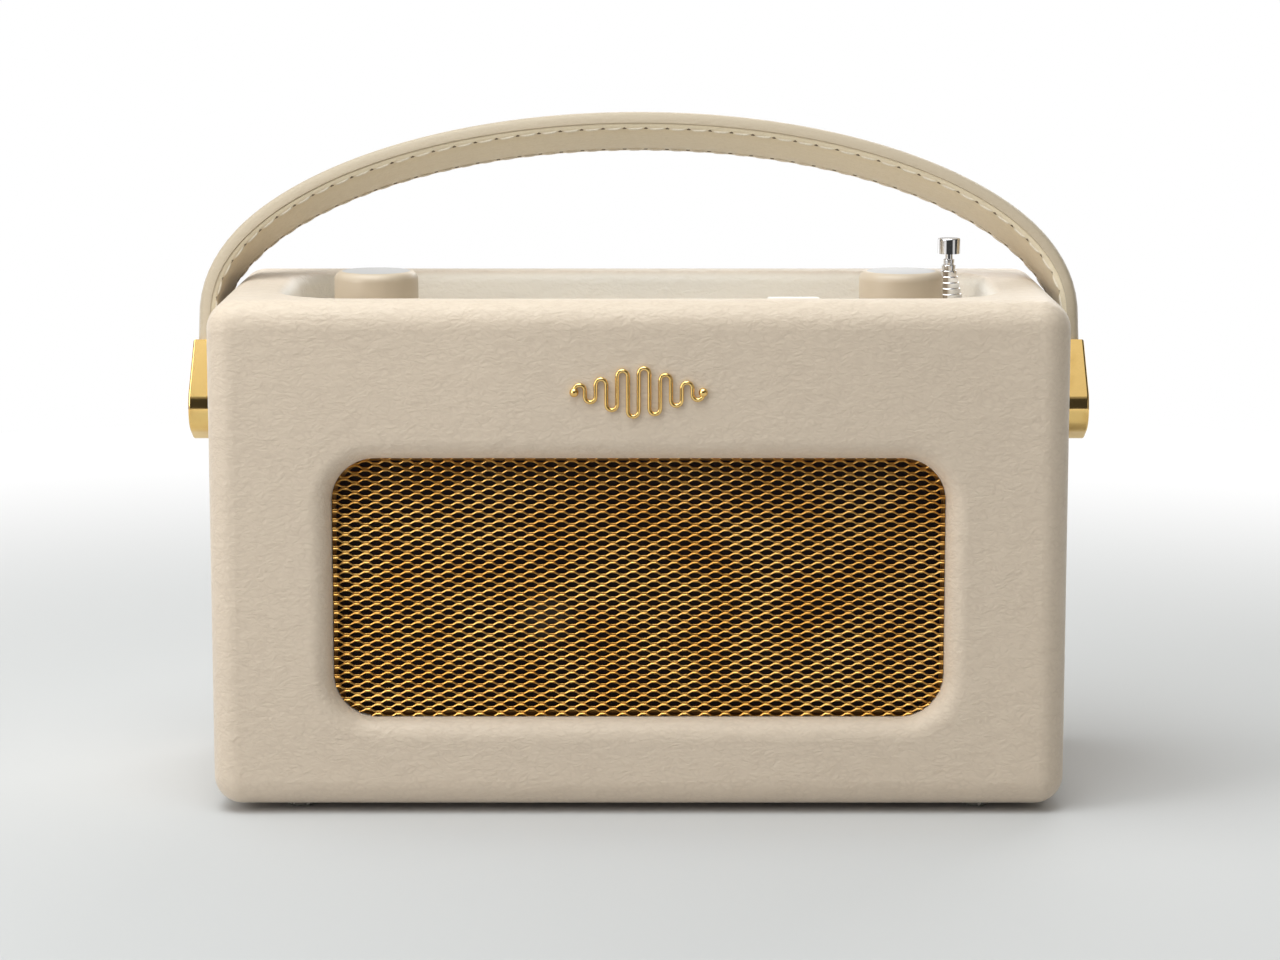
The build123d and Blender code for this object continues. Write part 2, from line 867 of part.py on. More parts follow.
def make_cap(side, name):
    """A tapered brass socket for the strap's end, bored for its pivot."""
    with BuildPart() as cap:
        with BuildSketch(arch_plane):
            with BuildLine():
                Polyline(
                    (side * cap_inner, -cap_drop),
                    (side * (half_width + cap_bottom_proud), -cap_drop),
                    (side * (half_width + cap_bottom_proud), 0),
                    (side * (half_width + cap_top_proud), cap_reach),
                    (side * cap_inner, cap_reach),
                    close=True,
                )
            make_face()
        extrude(amount=cap_half_depth, both=True)
        low_edges = cap.edges().filter_by(Axis.X).sort_by(arch_height)
        fillet(low_edges[0:2], cap_drop - cap_flat)
        rim = [edge for edge in cap.edges() if is_cap_rim(edge, side)]
        fillet(rim, cap_edge)
        with BuildSketch(arch_plane):
            with Locations((side * (arch_half_width - strap_thickness / 2), strap_seat + cap_reach / 2)):
                Rectangle(strap_thickness, cap_reach)
        extrude(amount=strap_width / 2, both=True, mode=Mode.SUBTRACT)
        with BuildSketch(Plane.YZ.offset(side * cap_inner)):
            with Locations((0, pivot_z)):
                Circle(pivot_radius + running_clearance)
        extrude(amount=side * 2 * strap_thickness, mode=Mode.SUBTRACT)
        with BuildSketch(Plane.YZ.offset(side * (half_width + cap_bottom_proud))):
            with Locations((0, pivot_z)):
                Circle(pivot_head_radius + pivot_head_clearance)
        extrude(amount=-side * (pivot_head + 2 * pivot_sink), mode=Mode.SUBTRACT)
    save(cap.part, name)


make_cap(-1, "handle_cap_left")
make_cap(1, "handle_cap_right")

# A fixed plate, a shoulder screw and a nut on each side
plate_radius = 9.3
pivot_head_seat = half_width + cap_bottom_proud - pivot_head - pivot_sink
nut_radius = 4.5
nut_depth = 3.0
with BuildPart() as handle_plates:
    for side in (-1, 1):
        with BuildSketch(Plane.YZ.offset(side * half_width)):
            with Locations((0, pivot_z)):
                Circle(plate_radius)
                Circle(pivot_thread, mode=Mode.SUBTRACT)
        extrude(amount=side * plate_thickness)
save(handle_plates.part, "handle_plates")

with BuildPart() as handle_pivots:
    for side in (-1, 1):
        with BuildSketch(Plane.YZ.offset(side * (cavity_half - nut_depth))):
            with Locations((0, pivot_z)):
                Circle(pivot_thread)
        extrude(amount=side * (half_width + plate_thickness - cavity_half + nut_depth))
        with BuildSketch(Plane.YZ.offset(side * (half_width + plate_thickness))):
            with Locations((0, pivot_z)):
                Circle(pivot_radius)
        extrude(amount=side * (pivot_head_seat - half_width - plate_thickness))
        with BuildSketch(Plane.YZ.offset(side * pivot_head_seat)):
            with Locations((0, pivot_z)):
                Circle(pivot_head_radius)
        extrude(amount=side * pivot_head)
save(handle_pivots.part, "handle_pivots")

with BuildPart() as pivot_nuts:
    for side in (-1, 1):
        with BuildSketch(Plane.YZ.offset(side * (cavity_half - nut_depth))):
            with Locations((0, pivot_z)):
                RegularPolygon(nut_radius, 6, major_radius=False)
                Circle(pivot_thread, mode=Mode.SUBTRACT)
        extrude(amount=side * nut_depth)
save(pivot_nuts.part, "pivot_nuts")

# The aerial: a guide in the cabinet, a knuckle, nested tubes and a capped rod
aerial_centre = (aerial_x, aerial_y)
knuckle_bottom = floor_z + 1.0
knuckle_top = knuckle_bottom + knuckle_height
knuckle_radius = tube_radius
pin_radius = tube_radius / 2
pin_top = knuckle_top + knuckle_pin
first_ring_z = top_z - first_ring_drop
nest_bottom = pin_top + 1.0
first_tube_bottom = knuckle_top + 0.2
first_bore_bottom = nest_bottom - 0.5

with BuildPart() as aerial_bush:
    with BuildSketch(lying(panel_under)):
        with Locations(aerial_centre):
            Circle(bush_stem_radius)
    extrude(amount=panel_thickness)
    with BuildSketch(lying(recess_floor)):
        with Locations(aerial_centre):
            Circle(bush_rim_radius)
    extrude(amount=bush_rim_height)
    chamfer(aerial_bush.edges().filter_by(GeomType.CIRCLE).sort_by(Axis.Z)[-1], bush_chamfer)
    with BuildSketch(lying(panel_under)):
        with Locations(aerial_centre):
            Circle(guide_bore)
    extrude(amount=panel_thickness + bush_rim_height, mode=Mode.SUBTRACT)
save(aerial_bush.part, "aerial_bush")

with BuildPart() as aerial_guide:
    with BuildSketch(lying(floor_z)):
        with Locations(aerial_centre):
            Circle(guide_bore + guide_wall)
    extrude(amount=panel_under - floor_z)
    with BuildSketch(lying(floor_z + guide_floor)):
        with Locations(aerial_centre):
            Circle(guide_bore)
    extrude(amount=panel_under - floor_z - guide_floor, mode=Mode.SUBTRACT)
save(aerial_guide.part, "aerial_guide")

with BuildPart() as aerial_knuckle:
    with BuildSketch(lying(knuckle_bottom)):
        with Locations(aerial_centre):
            Circle(knuckle_radius)
    extrude(amount=knuckle_height)
    with BuildSketch(lying(knuckle_top)):
        with Locations(aerial_centre):
            Circle(pin_radius)
    extrude(amount=knuckle_pin)
save(aerial_knuckle.part, "aerial_knuckle")

tube_clearance = tube_step - tube_wall
for number in range(tube_count):
    outer_radius = tube_radius - number * tube_step
    ring_top = first_ring_z + ring_height / 2 + number * ring_pitch
    tube_bottom = first_tube_bottom if number == 0 else nest_bottom
    bore_bottom = first_bore_bottom if number == 0 else nest_bottom
    with BuildPart() as tube:
        with BuildSketch(lying(tube_bottom)):
            with Locations(aerial_centre):
                Circle(outer_radius)
        extrude(amount=ring_top - tube_bottom)
        with BuildSketch(lying(ring_top - ring_height)):
            with Locations(aerial_centre):
                Circle(outer_radius + ring_proud)
        extrude(amount=ring_height)
        fillet(
            tube.edges().filter_by_position(Axis.Z, ring_top - near, ring_top + near),
            ring_height * 0.3,
        )
        with BuildSketch(lying(bore_bottom)):
            with Locations(aerial_centre):
                Circle(outer_radius - tube_wall)
        extrude(amount=ring_top - tube_bottom, mode=Mode.SUBTRACT)
        if number == 0:
            with BuildSketch(lying(tube_bottom)):
                with Locations(aerial_centre):
                    Circle(pin_radius + running_clearance)
            extrude(amount=nest_bottom, mode=Mode.SUBTRACT)
    save(tube.part, f"aerial_tube_{number + 1}")

tip_bottom = first_ring_z + ring_height / 2 + (tube_count - 1) * ring_pitch + neck_height
last_bore = tube_radius - (tube_count - 1) * tube_step - tube_wall
with BuildPart() as aerial_tip:
    with BuildSketch(lying(nest_bottom)):
        with Locations(aerial_centre):
            Circle(last_bore - tube_clearance)
    extrude(amount=tip_bottom - nest_bottom)
    with BuildSketch(lying(tip_bottom)):
        with Locations(aerial_centre):
            Circle(tip_radius)
    extrude(amount=tip_height)
    fillet(aerial_tip.faces().sort_by(Axis.Z)[-1].edges(), tip_round)
save(aerial_tip.part, "aerial_tip")

# The battery tray, its cells and their contacts
cells_width = cell_count * cell_pitch + 0.6
tray_inner_height = cell_length + contact_space
tray_bottom = floor_z + tray_rise
tray_inner_bottom = tray_bottom + tray_wall
tray_inner_top = tray_inner_bottom + tray_inner_height
tray_middle_z = tray_inner_bottom + tray_inner_height / 2
tray_depth = 2 * cell_radius + 1.6
tray_inner_y = panel_back_y - tray_depth
cell_y = tray_inner_y + cell_radius + 0.4
first_cell_x = battery_x - cell_pitch * (cell_count - 1) / 2
cell_places = [(first_cell_x + n * cell_pitch, cell_y) for n in range(cell_count)]
contact_sheet = 0.5
contact_width = 12.0
contact_depth = 10.0
spring_radius = 4.2
spring_tip_radius = 2.6

with BuildPart() as battery_tray:
    with BuildSketch(facing(panel_back_y)):
        with Locations((battery_x, tray_middle_z)):
            Rectangle(cells_width + 2 * tray_wall, tray_inner_height + 2 * tray_wall)
    extrude(amount=tray_depth + tray_wall)
    with BuildSketch(facing(panel_back_y)):
        with Locations((battery_x, tray_middle_z)):
            Rectangle(cells_width, tray_inner_height)
    extrude(amount=tray_depth, mode=Mode.SUBTRACT)
save(battery_tray.part, "battery_tray")

with BuildPart() as battery_contacts:
    for contact_z in (tray_inner_bottom, tray_inner_top - contact_sheet):
        with BuildSketch(lying(contact_z)):
            with Locations(*cell_places):
                Rectangle(contact_width, contact_depth)
        extrude(amount=contact_sheet)
    spring_bottom = tray_inner_bottom + contact_sheet
    cell_bottom = tray_inner_top - contact_sheet - cell_length
    for place in cell_places:
        with Locations((place[0], place[1], (spring_bottom + cell_bottom) / 2)):
            Cone(spring_radius, spring_tip_radius, cell_bottom - spring_bottom)
save(battery_contacts.part, "battery_contacts")

nub_height = 1.2
nub_radius = 2.7
with BuildPart() as battery_cells:
    with BuildSketch(lying(cell_bottom)):
        with Locations(*cell_places):
            Circle(cell_radius)
    extrude(amount=cell_length - nub_height)
    with BuildSketch(lying(cell_bottom + cell_length - nub_height)):
        with Locations(*cell_places):
            Circle(nub_radius)
    extrude(amount=nub_height)
save(battery_cells.part, "battery_cells")

# The battery door turns down on two pins at its lower edge
door_back_y = panel_back_y + 0.2
door_face_y = door_back_y + door_thickness
door_width = cells_width + 2 * tray_wall - 1.0
door_bottom = tray_bottom
door_height = tray_inner_height + 2 * tray_wall
door_pin_y = door_back_y + door_thickness / 2
door_pin_z = door_bottom + door_thickness / 2
door_pin_length = 2.5
door_pin_end_gap = 0.3
tab_width = 16.0
tab_height = 3.0
tab_rise = 0.7
with BuildPart() as battery_door:
    with BuildSketch(facing(door_face_y)):
        with Locations((battery_x, door_bottom + door_height / 2)):
            Rectangle(door_width, door_height)
    extrude(amount=door_thickness)
    fillet(
        battery_door.edges()
        .filter_by(Axis.X)
        .filter_by_position(Axis.Z, door_bottom - near, door_bottom + near),
        door_thickness / 2 - near,
    )
    with BuildSketch(facing(door_face_y)):
        with Locations((battery_x, door_bottom + door_height - 2 * tab_height)):
            SlotOverall(tab_width, tab_height)
    extrude(amount=-tab_rise)
    with BuildSketch(Plane.YZ.offset(battery_x)):
        with Locations((door_pin_y, door_pin_z)):
            Circle(door_pin_radius)
    extrude(amount=door_width / 2 + door_pin_length, both=True)
save(battery_door.part, "battery_door")

# The rear panel: battery opening, vents, socket holes and posts for the main board
main_board_y = panel_back_y - 12.5
main_board_x = cavity_half - 50.0
main_board_z = 62.0
socket_x = main_board_x + 14.0
main_board_width = 62.0
main_board_height = 84.0
board_post_x = 24.0
board_post_z = 36.0
dc_z = 30.0
headphone_z = 46.0
aux_z = 58.0
vent_count = 6
vent_pitch = 5.0
vent_length = 60.0
vent_width = 2.2
vent_z = ceiling_z - 34.0
second_vent_x = main_board_x - 18.0
rear_width = 2 * (cavity_half - leather_thickness - rear_clearance)
rear_height = ceiling_z - floor_z - 2 * (leather_thickness + rear_clearance)

with BuildPart() as rear_panel:
    with BuildSketch(facing(panel_face_y)):
        with Locations((0, middle_z)):
            RectangleRounded(rear_width, rear_height, rear_corner)
        with Locations((battery_x, door_bottom + door_height / 2)):
            Rectangle(
                door_width + 2 * door_clearance,
                door_height + 2 * door_clearance,
                mode=Mode.SUBTRACT,
            )
        with Locations((battery_x, vent_z), (second_vent_x, vent_z)):
            with GridLocations(vent_length, vent_pitch, 1, vent_count):
                SlotOverall(vent_length, vent_width, mode=Mode.SUBTRACT)
        with Locations((socket_x, dc_z)):
            Circle(dc_nose + socket_clearance, mode=Mode.SUBTRACT)
        with Locations((socket_x, headphone_z), (socket_x, aux_z)):
            Circle(jack_nose + socket_clearance, mode=Mode.SUBTRACT)
        with Locations((0, middle_z)):
            with GridLocations(2 * rear_screw_x, rear_screw_pitch, 2, 3):
                Circle(screw_radius, mode=Mode.SUBTRACT)
    extrude(amount=rear_panel_thickness)
    with BuildSketch(facing(panel_face_y)):
        with Locations((0, middle_z)):
            with GridLocations(2 * rear_screw_x, rear_screw_pitch, 2, 3):
                Circle(screw_head_radius + screw_head_clearance)
    extrude(amount=screw_head, mode=Mode.SUBTRACT)
    with BuildSketch(Plane.YZ.offset(battery_x)):
        with Locations((door_pin_y, door_pin_z)):
            Circle(door_pin_radius + running_clearance)
    extrude(amount=door_width / 2 + door_pin_length + door_pin_end_gap, both=True, mode=Mode.SUBTRACT)
    with BuildSketch(facing(panel_back_y)):
        with Locations((main_board_x, main_board_z)):
            with GridLocations(2 * board_post_x, 2 * board_post_z, 2, 2):
                Circle(post_radius)
                Circle(board_screw_radius, mode=Mode.SUBTRACT)
    extrude(amount=panel_back_y - main_board_y)
save(rear_panel.part, "rear_panel")

with BuildPart() as main_board:
    with BuildSketch(facing(main_board_y)):
        with Locations((main_board_x, main_board_z)):
            Rectangle(main_board_width, main_board_height)
            with GridLocations(2 * board_post_x, 2 * board_post_z, 2, 2):
                Circle(board_hole_radius, mode=Mode.SUBTRACT)
    extrude(amount=pcb_thickness)
save(main_board.part, "main_board")

module_width = 34.0
module_height = 26.0
module_depth = 4.2
module_corner = 1.0
module_x = main_board_x - 6.0
module_z = main_board_z + 12.0
with BuildPart() as radio_module:
    with BuildSketch(facing(main_board_y - pcb_thickness)):
        with Locations((module_x, module_z)):
            RectangleRounded(module_width, module_height, module_corner)
    extrude(amount=module_depth)
save(radio_module.part, "radio_module")


def make_socket(height, nose_radius, body_size, bore, depth, pin, name):
    """A panel socket: a body on the main board with a round nose in the rear panel."""
    with BuildPart() as socket:
        with BuildSketch(facing(panel_back_y)):
            with Locations((socket_x, height)):
                Rectangle(body_size, body_size)
        extrude(amount=panel_back_y - main_board_y)
        with BuildSketch(facing(panel_face_y)):
            with Locations((socket_x, height)):
                Circle(nose_radius)
        extrude(amount=rear_panel_thickness)
        with BuildSketch(facing(panel_face_y)):
            with Locations((socket_x, height)):
                Circle(bore)
                if pin:
                    Circle(pin, mode=Mode.SUBTRACT)
        extrude(amount=depth, mode=Mode.SUBTRACT)
    save(socket.part, name)


make_socket(dc_z, dc_nose, dc_body, dc_bore, dc_depth, dc_pin, "dc_socket")
make_socket(headphone_z, jack_nose, jack_body, jack_bore, jack_depth, 0, "headphone_socket")
make_socket(aux_z, jack_nose, jack_body, jack_bore, jack_depth, 0, "aux_socket")

# Wood screws: the rear panel's six, the control panel's four and the loudspeaker's four
speaker_screw_y = speaker_face_y + basket_sheet
with BuildPart() as wood_screws:
    with BuildSketch(facing(panel_face_y)):
        with Locations((0, middle_z)):
            with GridLocations(2 * rear_screw_x, rear_screw_pitch, 2, 3):
                Circle(screw_head_radius)
    extrude(amount=screw_head)
    with BuildSketch(facing(panel_face_y - screw_head)):
        with Locations((0, middle_z)):
            with GridLocations(2 * rear_screw_x, rear_screw_pitch, 2, 3):
                Circle(screw_radius)
    extrude(amount=screw_length)
    with BuildSketch(lying(panel_under)):
        with GridLocations(2 * panel_screw_x, 2 * panel_screw_y, 2, 2):
            Circle(screw_head_radius)
    extrude(amount=-screw_head)
    with BuildSketch(lying(panel_under)):
        with GridLocations(2 * panel_screw_x, 2 * panel_screw_y, 2, 2):
            Circle(screw_radius)
    extrude(amount=screw_length)
    with BuildSketch(facing(speaker_screw_y)):
        with Locations((speaker_x, speaker_z)):
            with PolarLocations(speaker_screw_circle, 4, start_angle=45):
                Circle(screw_head_radius)
    extrude(amount=-screw_head)
    with BuildSketch(facing(speaker_screw_y)):
        with Locations((speaker_x, speaker_z)):
            with PolarLocations(speaker_screw_circle, 4, start_angle=45):
                Circle(screw_radius)
    extrude(amount=screw_length)
save(wood_screws.part, "wood_screws")

# Small screws that hold both circuit boards to their posts
with BuildPart() as board_screws:
    with BuildSketch(lying(board_top - pcb_thickness)):
        with GridLocations(2 * post_x, 2 * post_y, 2, 2):
            Circle(board_screw_head_radius)
    extrude(amount=-board_screw_head)
    with BuildSketch(lying(board_top - pcb_thickness)):
        with GridLocations(2 * post_x, 2 * post_y, 2, 2):
            Circle(board_screw_radius)
    extrude(amount=board_screw_reach)
    with BuildSketch(facing(main_board_y - pcb_thickness)):
        with Locations((main_board_x, main_board_z)):
            with GridLocations(2 * board_post_x, 2 * board_post_z, 2, 2):
                Circle(board_screw_head_radius)
    extrude(amount=board_screw_head)
    with BuildSketch(facing(main_board_y - pcb_thickness)):
        with Locations((main_board_x, main_board_z)):
            with GridLocations(2 * board_post_x, 2 * board_post_z, 2, 2):
                Circle(board_screw_radius)
    extrude(amount=-board_screw_reach)
save(board_screws.part, "board_screws")
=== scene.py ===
import bmesh
import bpy
from math import atan2, cos, exp, pi, radians, sin

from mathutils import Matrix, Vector


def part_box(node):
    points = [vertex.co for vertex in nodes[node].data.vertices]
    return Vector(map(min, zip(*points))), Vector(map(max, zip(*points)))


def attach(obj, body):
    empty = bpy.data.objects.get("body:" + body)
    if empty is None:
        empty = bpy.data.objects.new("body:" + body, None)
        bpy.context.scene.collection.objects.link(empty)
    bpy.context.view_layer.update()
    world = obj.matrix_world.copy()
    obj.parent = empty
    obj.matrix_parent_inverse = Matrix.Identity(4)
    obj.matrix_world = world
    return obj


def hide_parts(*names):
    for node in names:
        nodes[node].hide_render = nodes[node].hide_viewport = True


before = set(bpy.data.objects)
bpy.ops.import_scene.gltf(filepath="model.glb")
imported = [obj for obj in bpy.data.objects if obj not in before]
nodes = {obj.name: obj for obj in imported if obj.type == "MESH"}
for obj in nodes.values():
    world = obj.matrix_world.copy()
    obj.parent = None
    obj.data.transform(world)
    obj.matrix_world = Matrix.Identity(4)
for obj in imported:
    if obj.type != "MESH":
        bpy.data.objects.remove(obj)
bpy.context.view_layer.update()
mm = 0.001
print("frame loaded:", len(nodes), "nodes")


# camera, light and floor

studio = {
    "cameraPlace": (0.0004, -1.0992, 0.2639),
    "cameraTilt": 8.925,  # degrees below level
    "lens": 103.155,
    "floorTone": 0.61,
    "floorRadius": 0.8,
    "floorFade": (0.3, 0.94),  # where it starts and ends, as shares of the radius
    "fillStrength": 0.27,
    "fillTone": (1, 0.98, 0.90),
}
room = {  # what shows in reflections: each wall's first and full direction, and its strength
    "base": 0.05,
    "tone": (1, 0.98, 0.95),
    "softbox": (0.5, 0.8, 1.3),
    "softboxShade": (0.15, 0.5, 0.8),
    "zenith": (0.92, 0.985, 2.2),
    "leftWall": (0.45, 0.6, 0.9),
    "rightWall": (0.5, 0.65, 0.7),
    "wallEnd": (0.8, 0.9, 1.0),
    "wallHeight": (0.25, 0.5, 1.0),
    "backWall": (0.25, 0.6, 0.6),
}
lamps = {
    "topSoftbox": {
        "place": (-0.25, -0.2, 1.1), "target": (0, 0, 0.08), "size": (1.1, 0.8), "power": 11.2,
        "tint": (0.93, 0.98, 1.0),
    },
    "leftSoftbox": {"place": (-0.95, -0.6, 0.5), "target": (0, 0, 0.08), "size": (0.5, 0.8), "power": 5.5},
    "backSoftbox": {"place": (0.35, 1.0, 0.7), "target": (0, 0, 0.1), "size": (0.9, 0.6), "power": 5.0},
}


class Wire:
    # one shader socket that can take part in a sum, each step of which adds a Math node
    def __init__(self, finish, socket):
        self.finish = finish
        self.socket = socket

    def sum(self, operation, first, second=0.0):
        return self.finish.node("Math", {"operation": operation}, {0: first, 1: second})

    def __add__(self, other):
        return self.sum("ADD", self, other)

    def __sub__(self, other):
        return self.sum("SUBTRACT", self, other)

    def __rsub__(self, other):
        return self.sum("SUBTRACT", other, self)

    def __mul__(self, other):
        return self.sum("MULTIPLY", self, other)

    def __pow__(self, other):
        return self.sum("POWER", self, other)

    def __abs__(self):
        return self.sum("ABSOLUTE", self)

    __radd__ = __add__
    __rmul__ = __mul__


class Finish:
    # a node tree with its principled shader at hand
    def __init__(self, name, world=False):
        self.owner = bpy.data.worlds.new(name) if world else bpy.data.materials.new(name)
        self.owner.use_nodes = True
        self.tree = self.owner.node_tree
        if not world:
            self.shader = self.tree.nodes["Principled BSDF"]

    def node(self, kind, settings, inputs, output=0):
        made = self.tree.nodes.new("ShaderNode" + kind)
        for key, value in settings.items():
            setattr(made, key, value)
        for key, value in inputs.items():
            if isinstance(value, Wire):
                self.tree.links.new(value.socket, made.inputs[key])
            else:
                made.inputs[key].default_value = value
        return Wire(self, made.outputs[output])

    def place(self):
        return self.node("TexCoord", {}, {}, "Object")

    def axes(self):
        found = self.place()
        return [self.node("SeparateXYZ", {}, {0: found}, output) for output in range(3)]

    def noise(self, scale, detail=3.0, where=None, roughness=0.5):
        return self.node(
            "TexNoise",
            {},
            {"Vector": where or self.place(), "Scale": scale, "Detail": detail, "Roughness": roughness},
        )

    def fade(self, value, low, high):
        ends = {"Value": value, "From Min": low, "From Max": high}
        return self.node("MapRange", {"interpolation_type": "SMOOTHSTEP"}, ends)

    def sine(self, value):
        return self.node("Math", {"operation": "SINE"}, {0: value})

    def aboveZero(self, value):
        return self.node("Math", {"operation": "MAXIMUM"}, {0: value, 1: 0.0})

    def distance(self, across, up):
        return (across * across + up * up) ** 0.5

    def blend(self, share, first, second):
        return self.node("Mix", {"data_type": "RGBA"}, {0: share, 6: first, 7: second}, 2)

    def warp(self, where, scale, amount):
        shift = self.node("TexNoise", {}, {"Vector": where, "Scale": scale, "Detail": 1.0}, "Color")
        scaled = self.node("VectorMath", {"operation": "SCALE"}, {0: shift, "Scale": amount})
        return self.node("VectorMath", {"operation": "ADD"}, {0: where, 1: scaled})

    def set(self, **values):
        # baseColor=... sets or links the shader's Base Color, and so on
        for key, value in values.items():
            name = key[0].upper() + key[1:]
            name = "".join(" " + c if c.isupper() and spot else c for spot, c in enumerate(name))
            socket = self.shader.inputs[name.replace("I O R", "IOR")]
            if isinstance(value, Wire):
                self.tree.links.new(value.socket, socket)
            else:
                socket.default_value = value

    def bump(self, height, strength, depth):
        lifted = self.node("Bump", {}, {"Height": height, "Strength": strength, "Distance": depth})
        self.tree.links.new(lifted.socket, self.shader.inputs["Normal"])


def rgb(red, green, blue):
    return (red, green, blue, 1.0)


def makeWorld():
    # white to the camera, an even fill for the surfaces, and a softbox and walls for their gloss
    sky = Finish("studioSky", world=True)
    toward = sky.node("TexCoord", {}, {}, "Generated")
    x, y, z = [sky.node("SeparateXYZ", {}, {0: toward}, output) for output in range(3)]

    def wall(direction, name):
        start, full, strength = room[name]
        return sky.fade(direction, start, full) * strength

    level = 1 - wall(abs(z), "wallHeight")
    softbox = wall(z, "softbox") * (1 - wall(x, "softboxShade"))
    leftWall = wall(0 - x, "leftWall") * (1 - wall(0 - x, "wallEnd")) * level
    rightWall = wall(x, "rightWall") * (1 - wall(x, "wallEnd")) * level
    gloss = room["base"] + softbox + wall(z, "zenith") + leftWall + rightWall + wall(y, "backWall")
    shine = sky.node("Background", {}, {"Color": rgb(*room["tone"]), "Strength": gloss})
    fillTone = rgb(*studio["fillTone"])
    fill = sky.node("Background", {}, {"Color": fillTone, "Strength": studio["fillStrength"]})
    paper = sky.node("Background", {}, {"Color": rgb(1, 1, 1), "Strength": 1.0})
    isCamera = sky.node("LightPath", {}, {}, "Is Camera Ray")
    isGloss = sky.node("LightPath", {}, {}, "Is Glossy Ray")
    lit = sky.node("MixShader", {}, {0: isGloss, 1: fill, 2: shine})
    seen = sky.node("MixShader", {}, {0: isCamera, 1: lit, 2: paper})
    sky.tree.links.new(seen.socket, sky.tree.nodes["World Output"].inputs["Surface"])
    bpy.context.scene.world = sky.owner


def addLamp(name, place, target, size, power, tint=(1.0, 1.0, 1.0)):
    bpy.ops.object.light_add(type="AREA", location=place)
    lamp = bpy.context.object
    lamp.name = name
    lamp.rotation_euler = (Vector(target) - Vector(place)).to_track_quat("-Z", "Y").to_euler()
    lamp.data.shape = "RECTANGLE"
    lamp.data.size, lamp.data.size_y = size
    lamp.data.energy = power
    lamp.data.color = tint


def makeFloor():
    # matt paper that turns into the white of the background towards its rim
    bpy.ops.object.select_all(action="DESELECT")
    wide = studio["floorRadius"]
    bpy.ops.mesh.primitive_circle_add(vertices=96, radius=wide, fill_type="NGON", location=(0, 0, 0))
    floor = bpy.context.object
    floor.name = "studioFloor"
    card = Finish("floorPaper")
    x, y = card.axes()[:2]
    start, full = studio["floorFade"]
    far = card.fade(card.distance(x, y), start * wide, full * wide)
    paper = rgb(*[studio["floorTone"]] * 3)
    card.set(baseColor=card.blend(far, paper, rgb(0, 0, 0)), roughness=0.7, specularIORLevel=0.1)
    card.set(emissionColor=card.blend(far, rgb(0, 0, 0), rgb(1, 1, 1)), emissionStrength=1.0)
    floor.data.materials.append(card.owner)


bpy.context.scene.view_settings.view_transform = "Standard"
tilt = radians(90 - studio["cameraTilt"])
bpy.ops.object.camera_add(location=studio["cameraPlace"], rotation=(tilt, 0, 0))
camera = bpy.context.object
camera.name = "camera"
camera.data.lens = studio["lens"]
camera.data.sensor_width = 36.0
camera.data.clip_start = 0.01
bpy.context.scene.camera = camera
makeWorld()
makeFloor()
for name, lamp in lamps.items():
    addLamp(name, **lamp)
print("studio ready")


# finishes

# the leather inside the recess is painted paler: a painted highlight for the light bounced round it
recess = {  # where the leather turns down round the controls
    "cornerX": 84.0 * mm,
    "cornerY": 18.0 * mm,
    "edge": (19.5 * mm, 23.0 * mm),  # from the middle of a corner
    "depth": (140.5 * mm, 142.5 * mm),
    # the painted highlight's colour for the recess walls
    "tone": (0.88, 0.83, 0.75),
}
hideLook = {
    "warpScale": 150.0,
    "warpAmount": 3.0 * mm,
    "stretch": (0.55, 1.0, 1.0),  # wrinkles run along the cabinet
    "wrinkleScale": 0.55,  # against the pebble's
    "poreScale": 3.0,
    "creaseShade": 0.45,
    "wrinkleRise": 0.75,
    "patchRise": 0.45,
    "pebbleRise": 0.22,
    "poreRise": 0.12,
}


def makeLeather(name, tone, groove, grain, depth, gloss, paintedRecessLight=0.0):
    # fine-grained hide: soft wrinkles over a faint pebble, a slow drift of tone, and a painted highlight
    # that makes it paler in the recess, standing in for light bounced round it
    hide, look = Finish(name), hideLook
    where = hide.warp(hide.place(), look["warpScale"], look["warpAmount"])
    flat = hide.node("VectorMath", {"operation": "MULTIPLY"}, {0: where, 1: look["stretch"]})
    folds = hide.noise(grain * look["wrinkleScale"], detail=4.0, where=flat, roughness=0.6)
    wrinkle = hide.fade(folds, 0.25, 0.75)
    cells = hide.node("TexVoronoi", {"feature": "DISTANCE_TO_EDGE"}, {"Vector": flat, "Scale": grain})
    pebble = hide.fade(cells, 0.0, 0.3)
    pores = hide.noise(grain * look["poreScale"])
    patch = hide.fade(hide.noise(60.0), 0.35, 0.65)
    drift = hide.fade(hide.noise(14.0), 0.3, 0.7)
    light = [min(1.0, c * 1.015) for c in tone]
    dark = [c * 0.98 for c in tone]
    body = hide.blend(drift, rgb(*dark), rgb(*light))
    crease = (1 - wrinkle) * (1 - pebble) * look["creaseShade"]
    body = hide.blend(crease, body, rgb(*groove))
    x, y, z = hide.axes()
    pastX = hide.aboveZero(abs(x) - recess["cornerX"])
    pastY = hide.aboveZero(abs(y) - recess["cornerY"])
    inside = 1 - hide.fade(hide.distance(pastX, pastY), *recess["edge"])
    # painted highlight: the recess walls are painted paler instead of being lit brighter
    paintedBounce = inside * hide.fade(z, *recess["depth"]) * paintedRecessLight
    hide.set(baseColor=hide.blend(paintedBounce, body, rgb(*recess["tone"])))
    hide.set(roughness=gloss + 0.14 * (1 - wrinkle) + 0.06 * (drift - 0.5), specularIORLevel=0.42)
    hide.set(sheenWeight=0.3, sheenRoughness=0.4)
    relief = wrinkle * (look["wrinkleRise"] + look["patchRise"] * patch)
    relief = relief + look["pebbleRise"] * pebble + look["poreRise"] * pores
    hide.bump(relief, 0.5, depth)
    return hide.owner


